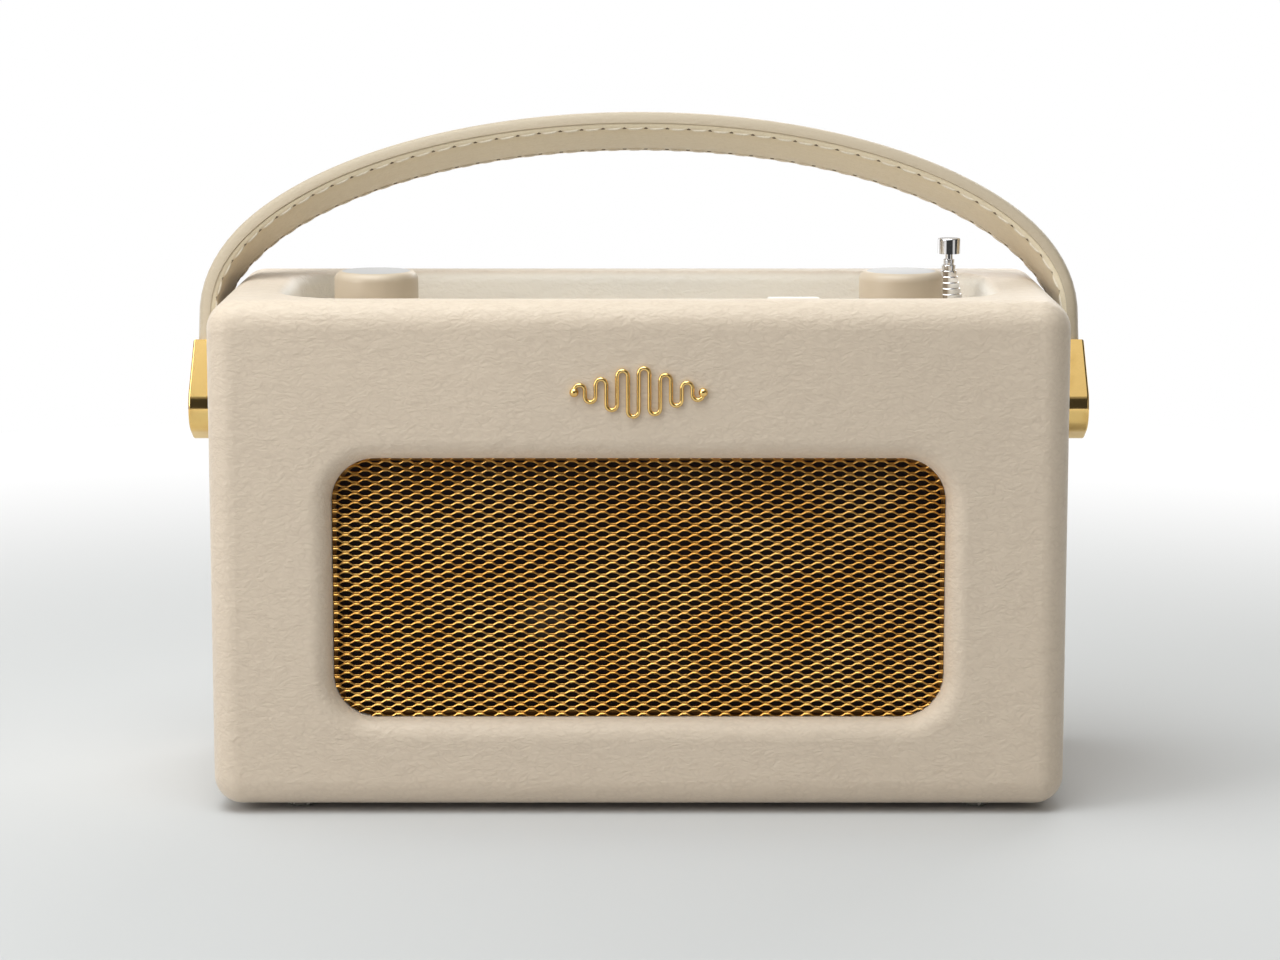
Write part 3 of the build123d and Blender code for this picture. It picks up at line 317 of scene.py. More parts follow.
def makeBrass(name, tone, gloss):
    # polished, with small warmer patches of tarnish and fine streaks
    brass = Finish(name)
    streak = brass.noise(420.0)
    tarnish = brass.fade(brass.noise(95.0, 5.0), 0.45, 0.75)
    warm = [c * f for c, f in zip(tone, (0.86, 0.78, 0.66))]
    brass.set(baseColor=brass.blend(tarnish, rgb(*tone), rgb(*warm)), metallic=1.0)
    brass.set(roughness=gloss + 0.09 * tarnish + 0.03 * streak)
    brass.bump(streak + brass.noise(2600.0, 2.0) * 0.4, 0.12, 0.05 * mm)
    return brass.owner


def makeGold(name):
    # lacquered expanded metal, with painted shade that makes the back of each blade darker and browner
    gold = Finish(name)
    y = gold.axes()[1]
    # painted shade: darker and browner the further back a point lies
    paintedDepthShade = gold.fade(y, -45.5 * mm, -44.3 * mm)
    patch = gold.fade(gold.noise(60.0), 0.3, 0.7)
    front = gold.blend(patch, rgb(0.76, 0.38, 0.08), rgb(0.88, 0.52, 0.15))
    gold.set(baseColor=gold.blend(paintedDepthShade, front, rgb(0.26, 0.11, 0.03)), metallic=1.0)
    gold.set(roughness=0.24 + 0.16 * gold.noise(900.0, 2.0))
    gold.bump(gold.noise(3200.0), 0.2, 0.04 * mm)
    return gold.owner


def makeChrome(name, tone, gloss):
    # bright plating with a slight haze of handling
    chrome = Finish(name)
    haze = chrome.fade(chrome.noise(180.0, 4.0), 0.4, 0.8)
    chrome.set(baseColor=chrome.blend(haze, rgb(*tone), rgb(*[c * 0.86 for c in tone])), metallic=1.0)
    chrome.set(roughness=gloss + 0.12 * haze)
    chrome.bump(chrome.noise(2100.0, 2.0), 0.1, 0.03 * mm)
    return chrome.owner


def makePlastic(name, tone, gloss, grain=2400.0, depth=0.04 * mm):
    # moulded plastic: fine spark texture, a slight drift of tone
    plastic = Finish(name)
    drift = plastic.fade(plastic.noise(30.0), 0.3, 0.7)
    spark = plastic.noise(grain)
    tints = [rgb(*[c * f for c in tone]) for f in (0.94, 1.04)]
    plastic.set(baseColor=plastic.blend(drift, tints[0], tints[1]))
    plastic.set(roughness=gloss + 0.12 * (spark - 0.5), specularIORLevel=0.45)
    plastic.bump(spark, 0.3, depth)
    return plastic.owner


knobTop = {"radius": 10.4 * mm, "edge": 0.3 * mm, "drop": 0.55 * mm, "turningMarks": 16000.0}


def makeKnobFinish(name):
    # cream side, cooler satin top with fine turning marks
    knob = Finish(name)
    low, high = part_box("tuning_knob")
    x, y, z = knob.axes()
    radius = knob.distance(abs(x) - (low[0] + high[0]) / 2, y)
    rim, edge, start = knobTop["radius"], knobTop["edge"], high[2] - knobTop["drop"]
    onTop = knob.fade(z, start, start + edge) * (1 - knob.fade(radius, rim - edge, rim))
    turned = knob.sine(radius * knobTop["turningMarks"])
    drift = knob.noise(60.0)
    side = knob.blend(drift, rgb(0.52, 0.42, 0.31), rgb(0.60, 0.50, 0.38))
    knob.set(baseColor=knob.blend(onTop, side, rgb(0.47, 0.46, 0.46)))
    knob.set(roughness=0.36 + 0.1 * onTop + 0.06 * drift, specularIORLevel=0.5)
    ring = knob.fade(radius, rim - 0.4 * mm, rim - 0.2 * mm) * (1 - knob.fade(radius, rim, rim + 0.2 * mm))
    knob.bump(turned * onTop * 0.15 + knob.noise(2600.0, 2.0) * 0.3 - ring * 2.0, 0.35, 0.05 * mm)
    return knob.owner


def fromSpeakerAxis(finish):
    # how far a point is from the loudspeaker's axis, seen from the front
    low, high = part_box("speaker_cone")
    x, z = finish.axes()[::2]
    return finish.distance(x - (low[0] + high[0]) / 2, z - (low[2] + high[2]) / 2)


def makeCloth(name):
    # dark acoustic weave, with a painted highlight where the loudspeaker's dust cap would show faintly
    # through
    cloth = Finish(name)
    threads = 9000.0
    x, z = cloth.axes()[::2]
    weave = cloth.sine(x * threads) * cloth.sine(z * threads)
    # painted highlight: a paler patch round the loudspeaker's axis
    paintedCapHighlight = 1 - cloth.fade(fromSpeakerAxis(cloth), 2.0 * mm, 10.5 * mm)
    base = cloth.blend(cloth.fade(weave, -1.0, 1.0), rgb(0.012, 0.006, 0.005), rgb(0.030, 0.018, 0.014))
    cloth.set(baseColor=cloth.blend(paintedCapHighlight * 0.6, base, rgb(0.11, 0.085, 0.06)))
    cloth.set(roughness=0.9, specularIORLevel=0.2)
    cloth.bump(weave, 0.6, 0.1 * mm)
    return cloth.owner


def makeWood(name):
    # pale plywood with a wavy grain
    wood = Finish(name)
    rings = {"Vector": wood.place(), "Scale": 90.0, "Distortion": 6.0, "Detail": 4.0}
    grain = wood.node("TexWave", {"wave_type": "BANDS"}, rings)
    wood.set(baseColor=wood.blend(grain, rgb(0.30, 0.19, 0.10), rgb(0.42, 0.28, 0.16)))
    wood.set(roughness=0.6 + 0.2 * wood.noise(600.0), specularIORLevel=0.3)
    wood.bump(grain + wood.noise(1800.0), 0.3, 0.2 * mm)
    return wood.owner


def makeRubber(name):
    # milky and half clear
    rubber = Finish(name)
    swirl = rubber.noise(300.0)
    rubber.set(baseColor=rubber.blend(swirl, rgb(0.60, 0.58, 0.54), rgb(0.74, 0.72, 0.68)))
    rubber.set(roughness=0.22 + 0.1 * swirl, transmissionWeight=0.55, coatWeight=0.3)
    rubber.bump(swirl, 0.2, 0.05 * mm)
    return rubber.owner


def makeWindow(name):
    # smoked and smudged
    glass = Finish(name)
    smudge = glass.fade(glass.noise(75.0, 4.0), 0.45, 0.7)
    glass.set(baseColor=glass.blend(smudge, rgb(0.010, 0.011, 0.013), rgb(0.018, 0.019, 0.021)))
    glass.set(roughness=0.05 + 0.1 * smudge, specularIORLevel=0.6, coatWeight=0.6)
    glass.bump(smudge, 0.03, 0.05 * mm)
    return glass.owner


def makeBoard(name):
    # solder mask over copper tracks, with plated pads
    board = Finish(name)
    where = board.place()
    tracks = board.node("TexVoronoi", {"distance": "CHEBYCHEV"}, {"Vector": where, "Scale": 260.0})
    lines = board.fade(board.sine(tracks * 40.0), 0.55, 0.75)
    pads = 1 - board.fade(board.node("TexVoronoi", {}, {"Vector": where, "Scale": 420.0}), 0.10, 0.16)
    mask = board.blend(lines, rgb(0.010, 0.075, 0.030), rgb(0.020, 0.13, 0.055))
    board.set(baseColor=board.blend(pads, mask, rgb(0.72, 0.66, 0.45)), metallic=pads)
    board.set(roughness=0.34 + 0.1 * lines, coatWeight=0.2)
    board.bump(lines + pads, 0.5, 0.08 * mm)
    return board.owner


def makeCone(name):
    # felted paper with concentric ribs round the loudspeaker's axis
    paper = Finish(name)
    ribs = paper.sine(fromSpeakerAxis(paper) * 2600.0)
    fibre = paper.noise(1300.0, 4.0)
    paper.set(baseColor=paper.blend(fibre, rgb(0.020, 0.019, 0.018), rgb(0.075, 0.07, 0.065)))
    paper.set(roughness=0.78 + 0.1 * fibre)
    paper.bump(ribs * 0.6 + fibre, 0.5, 0.2 * mm)
    return paper.owner


def makeFerrite(name):
    # dull, dark and speckled
    ferrite = Finish(name)
    speck = ferrite.noise(900.0, 4.0)
    ferrite.set(baseColor=ferrite.blend(speck, rgb(0.035, 0.035, 0.038), rgb(0.10, 0.10, 0.105)))
    ferrite.set(roughness=0.45 + 0.2 * speck, metallic=0.35)
    ferrite.bump(speck, 0.4, 0.1 * mm)
    return ferrite.owner


def makeCell(name):
    # plain wrapped cells: a pale collar above a grey-blue sleeve, bare metal at the top
    cell = Finish(name)
    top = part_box("battery_cells")[1][2]
    z = cell.axes()[2]
    upper = cell.fade(z, top - 4.9 * mm, top - 4.6 * mm)
    bare = cell.fade(z, top - 0.8 * mm, top - 0.6 * mm)
    sleeve = cell.blend(upper, rgb(0.11, 0.15, 0.20), rgb(0.62, 0.62, 0.60))
    cell.set(baseColor=cell.blend(bare, sleeve, rgb(0.72, 0.72, 0.70)), metallic=0.25 + 0.7 * bare)
    cell.set(roughness=0.26 + 0.1 * cell.noise(400.0))
    cell.bump(cell.noise(1500.0), 0.1, 0.05 * mm)
    return cell.owner


tone = {
    "leather": (0.71, 0.595, 0.47),
    # painted shade: the strap is given a darker tone than its lining and the cabinet's leather, standing
    # in for shade on its padded top
    "strap": (0.49, 0.405, 0.29),
    "lining": (0.72, 0.62, 0.45),
    "thread": (0.86, 0.79, 0.67),
    "brass": (0.90, 0.62, 0.23),
}
leather = makeLeather(
    "leatherCloth", tone["leather"], groove=(0.60, 0.49, 0.385), grain=700.0, depth=0.34 * mm, gloss=0.46,
    paintedRecessLight=1.0,
)
shadedStrapLeather = makeLeather(
    "shadedStrapLeather", tone["strap"], groove=(0.53, 0.44, 0.33), grain=1150.0, depth=0.12 * mm, gloss=0.42
)
liningLeather = makeLeather(
    "liningLeather", tone["lining"], groove=(0.60, 0.50, 0.35), grain=1500.0, depth=0.08 * mm, gloss=0.52
)
brass = makeBrass("polishedBrass", tone["brass"], gloss=0.10)
gold = makeGold("grilleGold")
# painted shade: the grille's rim and flange are its gold painted dark brown, so they don't catch the light
shadedRimGold = makeBrass("grilleRimShaded", (0.26, 0.13, 0.04), gloss=0.42)
chrome = makeChrome("chrome", (0.80, 0.80, 0.82), gloss=0.05)
steel = makeChrome("zincSteel", (0.56, 0.57, 0.60), gloss=0.28)
cream = makePlastic("creamPlastic", (0.72, 0.65, 0.55), gloss=0.42)
buttonCream = makePlastic("buttonPlastic", (0.80, 0.76, 0.69), gloss=0.34)
rearCream = makePlastic("rearPlastic", (0.60, 0.51, 0.41), gloss=0.5, grain=1500.0, depth=0.08 * mm)
black = makePlastic("blackPlastic", (0.028, 0.028, 0.030), gloss=0.42)
knobFinish = makeKnobFinish("knobPlastic")
cloth = makeCloth("acousticCloth")
wood = makeWood("boardWood")
rubber = makeRubber("footRubber")
window = makeWindow("displayGlass")
board = makeBoard("circuitBoard")
cone = makeCone("conePaper")
ferrite = makeFerrite("ferrite")
cellWrap = makeCell("cellWrap")

finishOf = {
    "cabinet_shell": wood, "front_baffle": wood, "speaker_board": wood,
    "leather_covering": leather, "feet": rubber, "front_ornament": brass,
    "speaker_grille": gold, "grille_cloth": cloth, "rear_panel": rearCream, "wood_screws": steel,
    "control_panel": cream, "display_window": window, "display_module": black,
    "control_board": board, "board_screws": steel, "button_switches": black,
    "volume_encoder": steel, "tuning_encoder": steel, "encoder_nuts": steel,
    "main_board": board, "radio_module": steel, "dc_socket": black,
    "headphone_socket": black, "aux_socket": black, "battery_tray": black,
    "battery_cells": cellWrap, "battery_contacts": steel, "speaker_basket": steel,
    "speaker_magnet": ferrite, "handle_plates": brass, "handle_pivots": brass, "pivot_nuts": steel,
    "aerial_guide": black, "handle_strap": shadedStrapLeather,
    "handle_lining": liningLeather, "handle_cap_left": brass, "handle_cap_right": brass,
    "volume_knob": knobFinish, "tuning_knob": knobFinish, "volume_shaft": steel,
    "tuning_plunger": steel, "tuning_shaft": steel, "standby_button": buttonCream,
    "menu_button": buttonCream, "info_button": buttonCream, "band_button": buttonCream,
    "preset_button": buttonCream, "battery_door": rearCream,
    "speaker_cone": cone, "speaker_surround": black,
}
for name, node in nodes.items():
    finish = finishOf.get(name, chrome)  # what isn't named above is the aerial's chromed metal
    node.data.materials.clear()
    node.data.materials.append(finish)
print("finishes made:", len(bpy.data.materials))


# hand tools

def clearHands():
    # object mode, with nothing selected
    if bpy.context.mode != "OBJECT":
        bpy.ops.object.mode_set(mode="OBJECT")
    bpy.ops.object.select_all(action="DESELECT")


def hold(piece):
    clearHands()
    bpy.context.view_layer.objects.active = piece
    piece.select_set(True)


def christen(name, finish):
    piece = bpy.context.object
    piece.name = name
    piece.data.name = name
    piece.data.materials.clear()
    piece.data.materials.append(finish)
    return piece


def pickFaces(piece, wanted):
    # in edit mode: selects the faces that wanted() says yes to
    bpy.ops.mesh.select_mode(type="FACE")
    bpy.ops.mesh.select_all(action="DESELECT")
    grid = bmesh.from_edit_mesh(piece.data)
    for face in grid.faces:
        face.select_set(wanted(face))
    bmesh.update_edit_mesh(piece.data)


def pickEdges(piece, wanted):
    # the same for edges
    bpy.ops.mesh.select_mode(type="EDGE")
    bpy.ops.mesh.select_all(action="DESELECT")
    grid = bmesh.from_edit_mesh(piece.data)
    for edge in grid.edges:
        edge.select_set(wanted(edge))
    bmesh.update_edit_mesh(piece.data)


def applyAll(piece):
    hold(piece)
    for modifier in list(piece.modifiers):
        bpy.ops.object.modifier_apply(modifier=modifier.name)


def bake(piece):
    # its place, turn and scale go into its mesh
    hold(piece)
    bpy.ops.object.transform_apply(location=True, rotation=True, scale=True)


def smooth(piece, angle):
    hold(piece)
    bpy.ops.object.shade_smooth_by_angle(angle=radians(angle))


def faceOutward(piece):
    # doubles merged, then every face turned to point out
    hold(piece)
    bpy.ops.object.mode_set(mode="EDIT")
    bpy.ops.mesh.select_all(action="SELECT")
    bpy.ops.mesh.remove_doubles(threshold=1e-7)
    bpy.ops.mesh.normals_make_consistent(inside=False)
    bpy.ops.object.mode_set(mode="OBJECT")


def join(pieces, name):
    clearHands()
    for piece in pieces:
        piece.select_set(True)
    bpy.context.view_layer.objects.active = pieces[0]
    bpy.ops.object.join()
    pieces[0].name = name
    pieces[0].data.name = name
    return pieces[0]


# the grille: expanded metal, its blades tilted back, cut to the opening

grille = {
    "pitchX": 6.0 * mm,
    "pitchZ": 2.73 * mm,
    "bladeWidth": 0.78 * mm,
    "bladeThickness": 0.34 * mm,
    "bladeTilt": 44.0,  # degrees back from upright
    "bondLength": 1.2 * mm,
    "columns": 31,
    "rows": 29,
    "middle": (0.0, -45.08 * mm, 66.5 * mm),
    "width": 178.6 * mm,
    "height": 76.6 * mm,
    "corner": 12.8 * mm,
    "sheet": 1.0 * mm,
    "flange": 5.0 * mm,
    "flangeFront": -42.99 * mm,
    "flangeThickness": 0.98 * mm,
    "wallFront": -44.0 * mm,
    "wallDepth": 2.0 * mm,
    "wallThickness": 0.4 * mm,
    "cornerCuts": (15, 30, 45, 60, 75),  # the mesh is trimmed round each corner at these angles
}


def makeStrand():
    # one zigzag blade of a single pitch, open at both ends
    tilt = radians(grille["bladeTilt"])
    up = Vector((0, sin(tilt), cos(tilt)))
    out = Vector((0, -cos(tilt), sin(tilt)))
    half, thin = grille["bladeWidth"] / 2, grille["bladeThickness"] / 2
    flat = half * 0.6
    profile = [(-half, 0), (-flat, thin), (flat, thin), (half, 0), (flat, -thin), (-flat, -thin)]
    bond, pitch = grille["bondLength"], grille["pitchX"]
    rise = grille["pitchZ"] / 2 - grille["bladeWidth"] * cos(tilt)
    sink = grille["bladeWidth"] * sin(tilt)
    run = pitch / 2 - bond
    bpy.ops.mesh.primitive_circle_add(vertices=6, radius=half, fill_type="NGON", rotation=(0, pi / 2, 0))
    strand = christen("strand", gold)
    bake(strand)
    for vertex, (along, across) in zip(strand.data.vertices, profile):
        vertex.co = Vector((-bond / 2, 0, 0)) + up * along + out * across
    bpy.ops.object.mode_set(mode="EDIT")
    bpy.ops.mesh.select_all(action="SELECT")
    legs = [(bond, 0.0), (run * 0.24, 0.14), (run * 0.52, 0.72), (run * 0.24, 0.14)]
    for side in (-1, 1):  # down to the trough, then up again
        for step, share in legs:
            move = (step, -side * share * sink, side * share * rise)
            bpy.ops.mesh.extrude_region_move(TRANSFORM_OT_translate={"value": move})
    pickFaces(strand, lambda face: abs(face.normal.x) > 0.99 and len(face.verts) == 6)
    bpy.ops.mesh.delete(type="FACE")
    bpy.ops.object.mode_set(mode="OBJECT")
    return strand


def repeat(piece, count, offset, merge):
    # a row of copies in one mesh; merge joins each to the next where they meet
    array = piece.modifiers.new("repeat", "ARRAY")
    array.count = count
    array.use_relative_offset = False
    array.use_constant_offset = True
    array.constant_offset_displace = offset
    array.use_merge_vertices = merge
    array.merge_threshold = 1e-6
    applyAll(piece)


def cutAway(piece, point, outward):
    # the side that outward points to is cut off and closed
    hold(piece)
    bpy.ops.object.mode_set(mode="EDIT")
    bpy.ops.mesh.select_all(action="SELECT")
    bpy.ops.mesh.bisect(plane_co=point, plane_no=outward, use_fill=True, clear_outer=True)
    bpy.ops.object.mode_set(mode="OBJECT")


def roundedRing(name, width, height, corner, wallWidth, depth, y, finish):
    # a flat ring with round corners, facing the front, pulled back to its depth
    cx, cy, cz = grille["middle"]
    bpy.ops.mesh.primitive_plane_add(size=1, location=(cx, y, cz), rotation=(pi / 2, 0, 0))
    ring = christen(name, finish)
    ring.scale = (width, height, 1)
    bake(ring)
    bpy.ops.object.mode_set(mode="EDIT")
    bpy.ops.mesh.select_all(action="SELECT")
    bpy.ops.mesh.bevel(offset=corner, segments=10, affect="VERTICES")
    pickFaces(ring, lambda face: True)
    bpy.ops.mesh.inset(thickness=wallWidth, use_even_offset=True)
    pickFaces(ring, lambda face: len(face.verts) > 4)
    bpy.ops.mesh.delete(type="FACE")
    bpy.ops.mesh.select_all(action="SELECT")
    bpy.ops.mesh.extrude_region_move(TRANSFORM_OT_translate={"value": (0, depth, 0)})
    bpy.ops.object.mode_set(mode="OBJECT")
    return ring


def makeGrille():
    clearHands()
    strand = makeStrand()
    hold(strand)
    repeat(strand, grille["columns"], (grille["pitchX"], 0, 0), True)
    other = strand.copy()
    other.data = strand.data.copy()
    bpy.context.collection.objects.link(other)
    other.location = (grille["pitchX"] / 2, 0, grille["pitchZ"] / 2)
    bake(other)
    mesh = join([strand, other], "speakerGrille")
    repeat(mesh, grille["rows"], (0, 0, grille["pitchZ"]), False)
    cx, cy, cz = grille["middle"]
    mesh.location = (
        cx - grille["columns"] * grille["pitchX"] / 2 + grille["pitchX"] / 4,
        cy + grille["bladeWidth"] * sin(radians(grille["bladeTilt"])) * -0.5,
        cz - (grille["rows"] - 0.5) * grille["pitchZ"] / 2,
    )
    bake(mesh)
    halfWidth, halfHeight, corner = grille["width"] / 2, grille["height"] / 2, grille["corner"]
    for side in (-1, 1):
        cutAway(mesh, (cx + side * halfWidth, cy, cz), (side, 0, 0))
        cutAway(mesh, (cx, cy, cz + side * halfHeight), (0, 0, side))
        for lift in (-1, 1):
            heart = (cx + side * (halfWidth - corner), cz + lift * (halfHeight - corner))
            for turn in grille["cornerCuts"]:
                lean = (side * cos(radians(turn)), lift * sin(radians(turn)))
                point = (heart[0] + corner * lean[0], cy, heart[1] + corner * lean[1])
                cutAway(mesh, point, (lean[0], 0, lean[1]))
    wall = roundedRing(
        "grilleWall", grille["width"], grille["height"], corner,
        grille["wallThickness"], grille["wallDepth"], grille["wallFront"], shadedRimGold,
    )
    past = grille["flange"]
    flange = roundedRing(
        "grilleFlange", grille["width"] + 2 * past, grille["height"] + 2 * past, corner + past,
        past + grille["sheet"], grille["flangeThickness"], grille["flangeFront"], shadedRimGold,
    )
    rim = join([wall, flange], "grilleRim")
    faceOutward(rim)
    mesh = join([mesh, rim], "speakerGrille")
    smooth(mesh, 50.0)
    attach(mesh, "cabinet")
    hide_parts("speaker_grille")
    print("grille:", len(mesh.data.polygons), "faces")


makeGrille()


# the handle: a padded strap, its stitched lining and the thread

handle = {
    "pivotHeight": 114.4 * mm,
    "lean": 25.0,  # degrees back from upright
    "halfWidth": 129.2 * mm,  # to the seam between strap and lining
    "rise": 60.1 * mm,
    "archFoot": 27.0 * mm,
    "seat": 8.0 * mm,
    "width": 21.0 * mm,
    "rows": 179,  # cuts along the arch
    "pad": 3.75 * mm,
    "around": 36,  # points round the pad's section
    "sideShape": 0.4,  # lower powers make squarer sides and a flatter dome
    "domeShape": 0.34,
    "domeShare": 0.86,
    "underside": 0.02 * mm,
    "swell": 0.30,  # how much thicker the pad grows away from the caps
    "swellStart": 12.0 * mm,
    "swellLength": 40.0 * mm,
    "lining": 1.4 * mm,
    "liningInset": 0.5 * mm,  # its edges stay inside the pad's
    "liningGap": 0.03 * mm,
    "channel": 0.5 * mm,  # from its middle to each lip
    "frontSeam": 9.1 * mm,  # each row of stitches, from the strap's middle line
    "rearSeam": -8.2 * mm,
    "stitchPitch": 6.6 * mm,
    "stitchLength": 5.0 * mm,
    "threadRadius": 0.42 * mm,
    "threadLift": 0.1 * mm,
    "pulledIn": 0.5 * mm,  # how deep a stitch's ends are drawn
    "slant": 0.05,
    "needleHole": 0.60 * mm,
    "needleDepth": 0.16 * mm,
    "needleSunk": 0.12 * mm,
    "bow": 0.5523,  # how far a quarter ellipse's handles reach, as a share of its radius
    "footReach": 6.0 * mm,  # the same for the arch's straight ends
    "seatReach": 5.0 * mm,
}


def makeGuide():
    # the arch that every layer follows: two upright feet and a half ellipse
    half, foot, rise, seat = handle["halfWidth"], handle["archFoot"], handle["rise"], handle["seat"]
    bow, footReach, seatReach = handle["bow"], handle["footReach"], handle["seatReach"]
    curve = bpy.data.curves.new("archGuide", "CURVE")
    curve.dimensions = "2D"
    curve.resolution_u = 64
    line = curve.splines.new("BEZIER")
    line.bezier_points.add(4)
    low, high = foot + bow * rise, foot + rise
    places = [
        ((-half, seat), (-half, seat - seatReach), (-half, seat + seatReach)),
        ((-half, foot), (-half, foot - footReach), (-half, low)),
        ((0, high), (-half * bow, high), (half * bow, high)),
        ((half, foot), (half, low), (half, foot - footReach)),
        ((half, seat), (half, seat + seatReach), (half, seat - seatReach)),
    ]
    for point, (spot, before, after) in zip(line.bezier_points, places):
        point.co = (*spot, 0)
        point.handle_left = (*before, 0)
        point.handle_right = (*after, 0)
    guide = bpy.data.objects.new("archGuide", curve)
    bpy.context.collection.objects.link(guide)
    return guide, line.calc_length()


def bendToArch(piece, guide):
    # laid out straight along X, then taken round the arch and leaned back
    curl = piece.modifiers.new("curl", "CURVE")
    curl.object = guide
    curl.deform_axis = "POS_X"
    applyAll(piece)
    piece.rotation_euler = (radians(90 - handle["lean"]), 0, 0)
    piece.location = (0, 0, handle["pivotHeight"])
    bake(piece)


def makeLayer(name, profile, length, finish):
    # a straight strip with that section: profile gives (across, outward) points
    bpy.ops.mesh.primitive_cylinder_add(
        vertices=len(profile), radius=1.0, depth=length,
        location=(length / 2, 0, 0), rotation=(0, pi / 2, 0),
    )
    layer = christen(name, finish)
    bake(layer)
    ends = sorted(layer.data.vertices, key=lambda vertex: vertex.co.x)
    for end in (ends[: len(profile)], ends[len(profile):]):
        around = sorted(end, key=lambda vertex: atan2(vertex.co.y, vertex.co.z))
        for vertex, (across, outward) in zip(around, profile):
            vertex.co.z, vertex.co.y = across, outward
    bpy.ops.object.mode_set(mode="EDIT")
    pickEdges(layer, lambda edge: abs(edge.verts[0].co.x - edge.verts[1].co.x) > length / 2)
    bpy.ops.mesh.subdivide(number_cuts=handle["rows"])
    bpy.ops.object.mode_set(mode="OBJECT")
    return layer


def makeStrap(guide, length):
    # going round from -180 degrees: flat underneath, domed above
    half, pad, domeShare = handle["width"] / 2, handle["pad"], handle["domeShare"]
    profile = []
    for step in range(handle["around"]):
        angle = -pi + step * 2 * pi / handle["around"] + 0.001
        across = half * abs(cos(angle)) ** handle["sideShape"] * (1 if cos(angle) > 0 else -1)
        dome = domeShare * abs(sin(angle)) ** handle["domeShape"] + (1 - domeShare) * sin(angle) ** 2
        profile.append((across, pad * dome if angle > 0 else -handle["underside"]))
    strap = makeLayer("handleStrap", profile, length, shadedStrapLeather)
    for vertex in strap.data.vertices:
        fromEnd = min(vertex.co.x, length - vertex.co.x)
        share = min(1.0, max(0.0, (fromEnd - handle["swellStart"]) / handle["swellLength"]))
        vertex.co.y *= 1 + handle["swell"] * share * share * (3 - 2 * share)
    bendToArch(strap, guide)
    faceOutward(strap)
    smooth(strap, 60.0)
    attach(strap, "handle")
    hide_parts("handle_strap")


def makeLining(guide, length):
    # flat, with rounded edges and a shallow channel under each row of stitches
    half, thick = handle["width"] / 2 - handle["liningInset"], handle["lining"]
    front, rear, lip = handle["frontSeam"], handle["rearSeam"], handle["channel"]
    under = [
        (-half, -0.3 * thick), (-half + 0.5 * mm, -0.9 * thick), (rear - lip, -thick),
        (rear, -0.82 * thick), (rear + lip, -thick), (-half * 0.35, -1.03 * thick),
        (half * 0.35, -1.03 * thick), (front - lip, -thick), (front, -0.82 * thick),
        (front + 0.7 * lip, -0.98 * thick), (half - 0.4 * mm, -0.9 * thick), (half, -0.3 * thick),
    ]
    over = [(half * share, -handle["liningGap"]) for share in (1, 0.5, -0.5, -1)]
    lining = makeLayer("handleLining", under + over, length, liningLeather)
    bendToArch(lining, guide)
    faceOutward(lining)
    smooth(lining, 50.0)
    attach(lining, "handle")
    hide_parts("handle_lining")


def makeStitches(guide, length):
    # one stitch, pulled in at both ends, repeated along both rows
    bpy.ops.mesh.primitive_cylinder_add(
        vertices=8, radius=handle["threadRadius"], depth=handle["stitchLength"], rotation=(0, pi / 2, 0)
    )
    stitch = christen("handleStitches", threadFinish)
    bake(stitch)
    bpy.ops.object.mode_set(mode="EDIT")
    pickEdges(stitch, lambda edge: abs(edge.verts[0].co.x - edge.verts[1].co.x) > 1 * mm)
    bpy.ops.mesh.subdivide(number_cuts=5)
    bpy.ops.object.mode_set(mode="OBJECT")
    for vertex in stitch.data.vertices:
        away = abs(vertex.co.x) / (handle["stitchLength"] / 2)
        vertex.co.y += away ** 4 * handle["pulledIn"] - handle["threadLift"]
        vertex.co.z += vertex.co.x * handle["slant"]
    # a small dark disc at each needle hole: painted shade where the hole would be
    bpy.ops.mesh.primitive_cylinder_add(
        vertices=8, radius=handle["needleHole"], depth=handle["needleDepth"],
        location=(handle["stitchPitch"] / 2, handle["needleSunk"], 0), rotation=(pi / 2, 0, 0),
    )
    pit = christen("needleHole", needleShadeFinish)
    bake(pit)
    stitch = join([stitch, pit], "handleStitches")
    stitch.location = (handle["stitchPitch"], -handle["lining"], handle["frontSeam"])
    bake(stitch)
    count = int(length / handle["stitchPitch"]) - 1
    repeat(stitch, count, (handle["stitchPitch"], 0, 0), False)
    repeat(stitch, 2, (0, 0, handle["rearSeam"] - handle["frontSeam"]), False)
    bendToArch(stitch, guide)
    smooth(stitch, 70.0)
    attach(stitch, "handle")


def makeThread(name):
    # waxed thread with a slight twist
    thread = Finish(name)
    twist = thread.noise(2600.0, 2.0)
    thread.set(baseColor=thread.blend(twist, rgb(0.62, 0.53, 0.40), rgb(*tone["thread"])))
    thread.set(roughness=0.55 + 0.2 * twist)
    thread.bump(twist, 0.5, 0.1 * mm)
    return thread.owner


threadFinish = makeThread("waxedThread")
# painted shade for the needle holes
needleShadeFinish = makePlastic("needleShade", (0.09, 0.055, 0.03), gloss=0.85)
clearHands()
guide, archLength = makeGuide()
makeStrap(guide, archLength)
makeLining(guide, archLength)
makeStitches(guide, archLength)
bpy.data.objects.remove(guide)
print("handle: arch of", round(archLength * 1000), "mm")


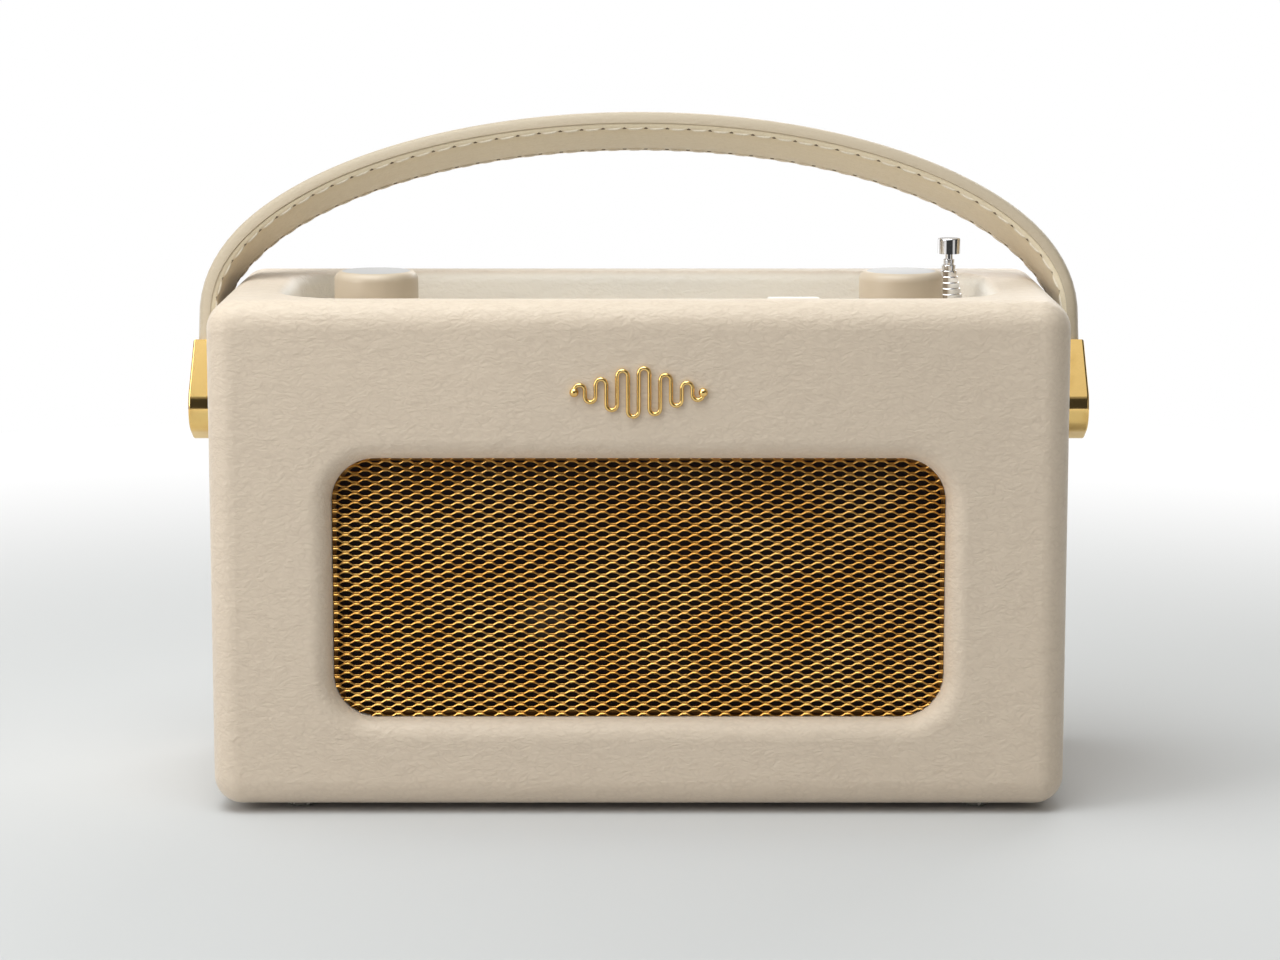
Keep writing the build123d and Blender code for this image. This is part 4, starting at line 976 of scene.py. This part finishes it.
# the ornament: one brass wire bent into waves, with a bead at each end

ornament = {
    "turns": 12,
    "pitch": 3.1 * mm,
    "wire": 0.6 * mm,
    "reach": 5.6 * mm,
    "narrowing": 2.6,  # how fast the waves die away from the middle
    "bendPoints": 8,
    "lift": 0.55 * mm,  # the wire's middle, in front of the leather
    "height": 125.0 * mm,
    "face": -52.0 * mm,
    "stand": 1.9 * mm,
    "bead": 1.35 * mm,
}


def makeOrnament():
    turns, pitch = ornament["turns"], ornament["pitch"]
    radius = pitch / 2
    spots = [(-turns * radius, 0.0)]
    x = -turns * radius
    for turn in range(turns):
        side = 1 if turn % 2 == 0 else -1
        middle = (turn - (turns - 1) / 2) / (turns / 2)
        reach = side * ornament["reach"] * exp(-ornament["narrowing"] * middle * middle)
        for step in range(ornament["bendPoints"] + 1):
            angle = pi * step / ornament["bendPoints"]
            spots.append((x + radius - radius * cos(angle), reach + side * radius * sin(angle)))
        x += pitch
    spots.append((x, 0.0))
    curve = bpy.data.curves.new("frontOrnament", "CURVE")
    curve.dimensions = "3D"
    curve.bevel_depth = ornament["wire"]
    curve.bevel_resolution = 3
    line = curve.splines.new("POLY")
    line.points.add(len(spots) - 1)
    for point, (across, up) in zip(line.points, spots):
        point.co = (across, 0, up, 1)
    wire = bpy.data.objects.new("frontOrnament", curve)
    bpy.context.collection.objects.link(wire)
    hold(wire)
    bpy.ops.object.convert(target="MESH")
    pieces = [christen("frontOrnament", brass)]
    for end in (spots[0], spots[-1]):
        bpy.ops.mesh.primitive_uv_sphere_add(
            segments=24, ring_count=12, radius=ornament["bead"], location=(end[0], 0, end[1])
        )
        pieces.append(christen("bead", brass))
        bake(pieces[-1])
    whole = join(pieces, "frontOrnament")
    whole.scale = (1, (ornament["stand"] - ornament["lift"]) / ornament["bead"], 1)
    whole.location = (0, ornament["face"] - ornament["lift"], ornament["height"])
    bake(whole)
    smooth(whole, 60.0)
    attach(whole, "cabinet")
    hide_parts("front_ornament")


makeOrnament()
print("ornament made")

clearHands()
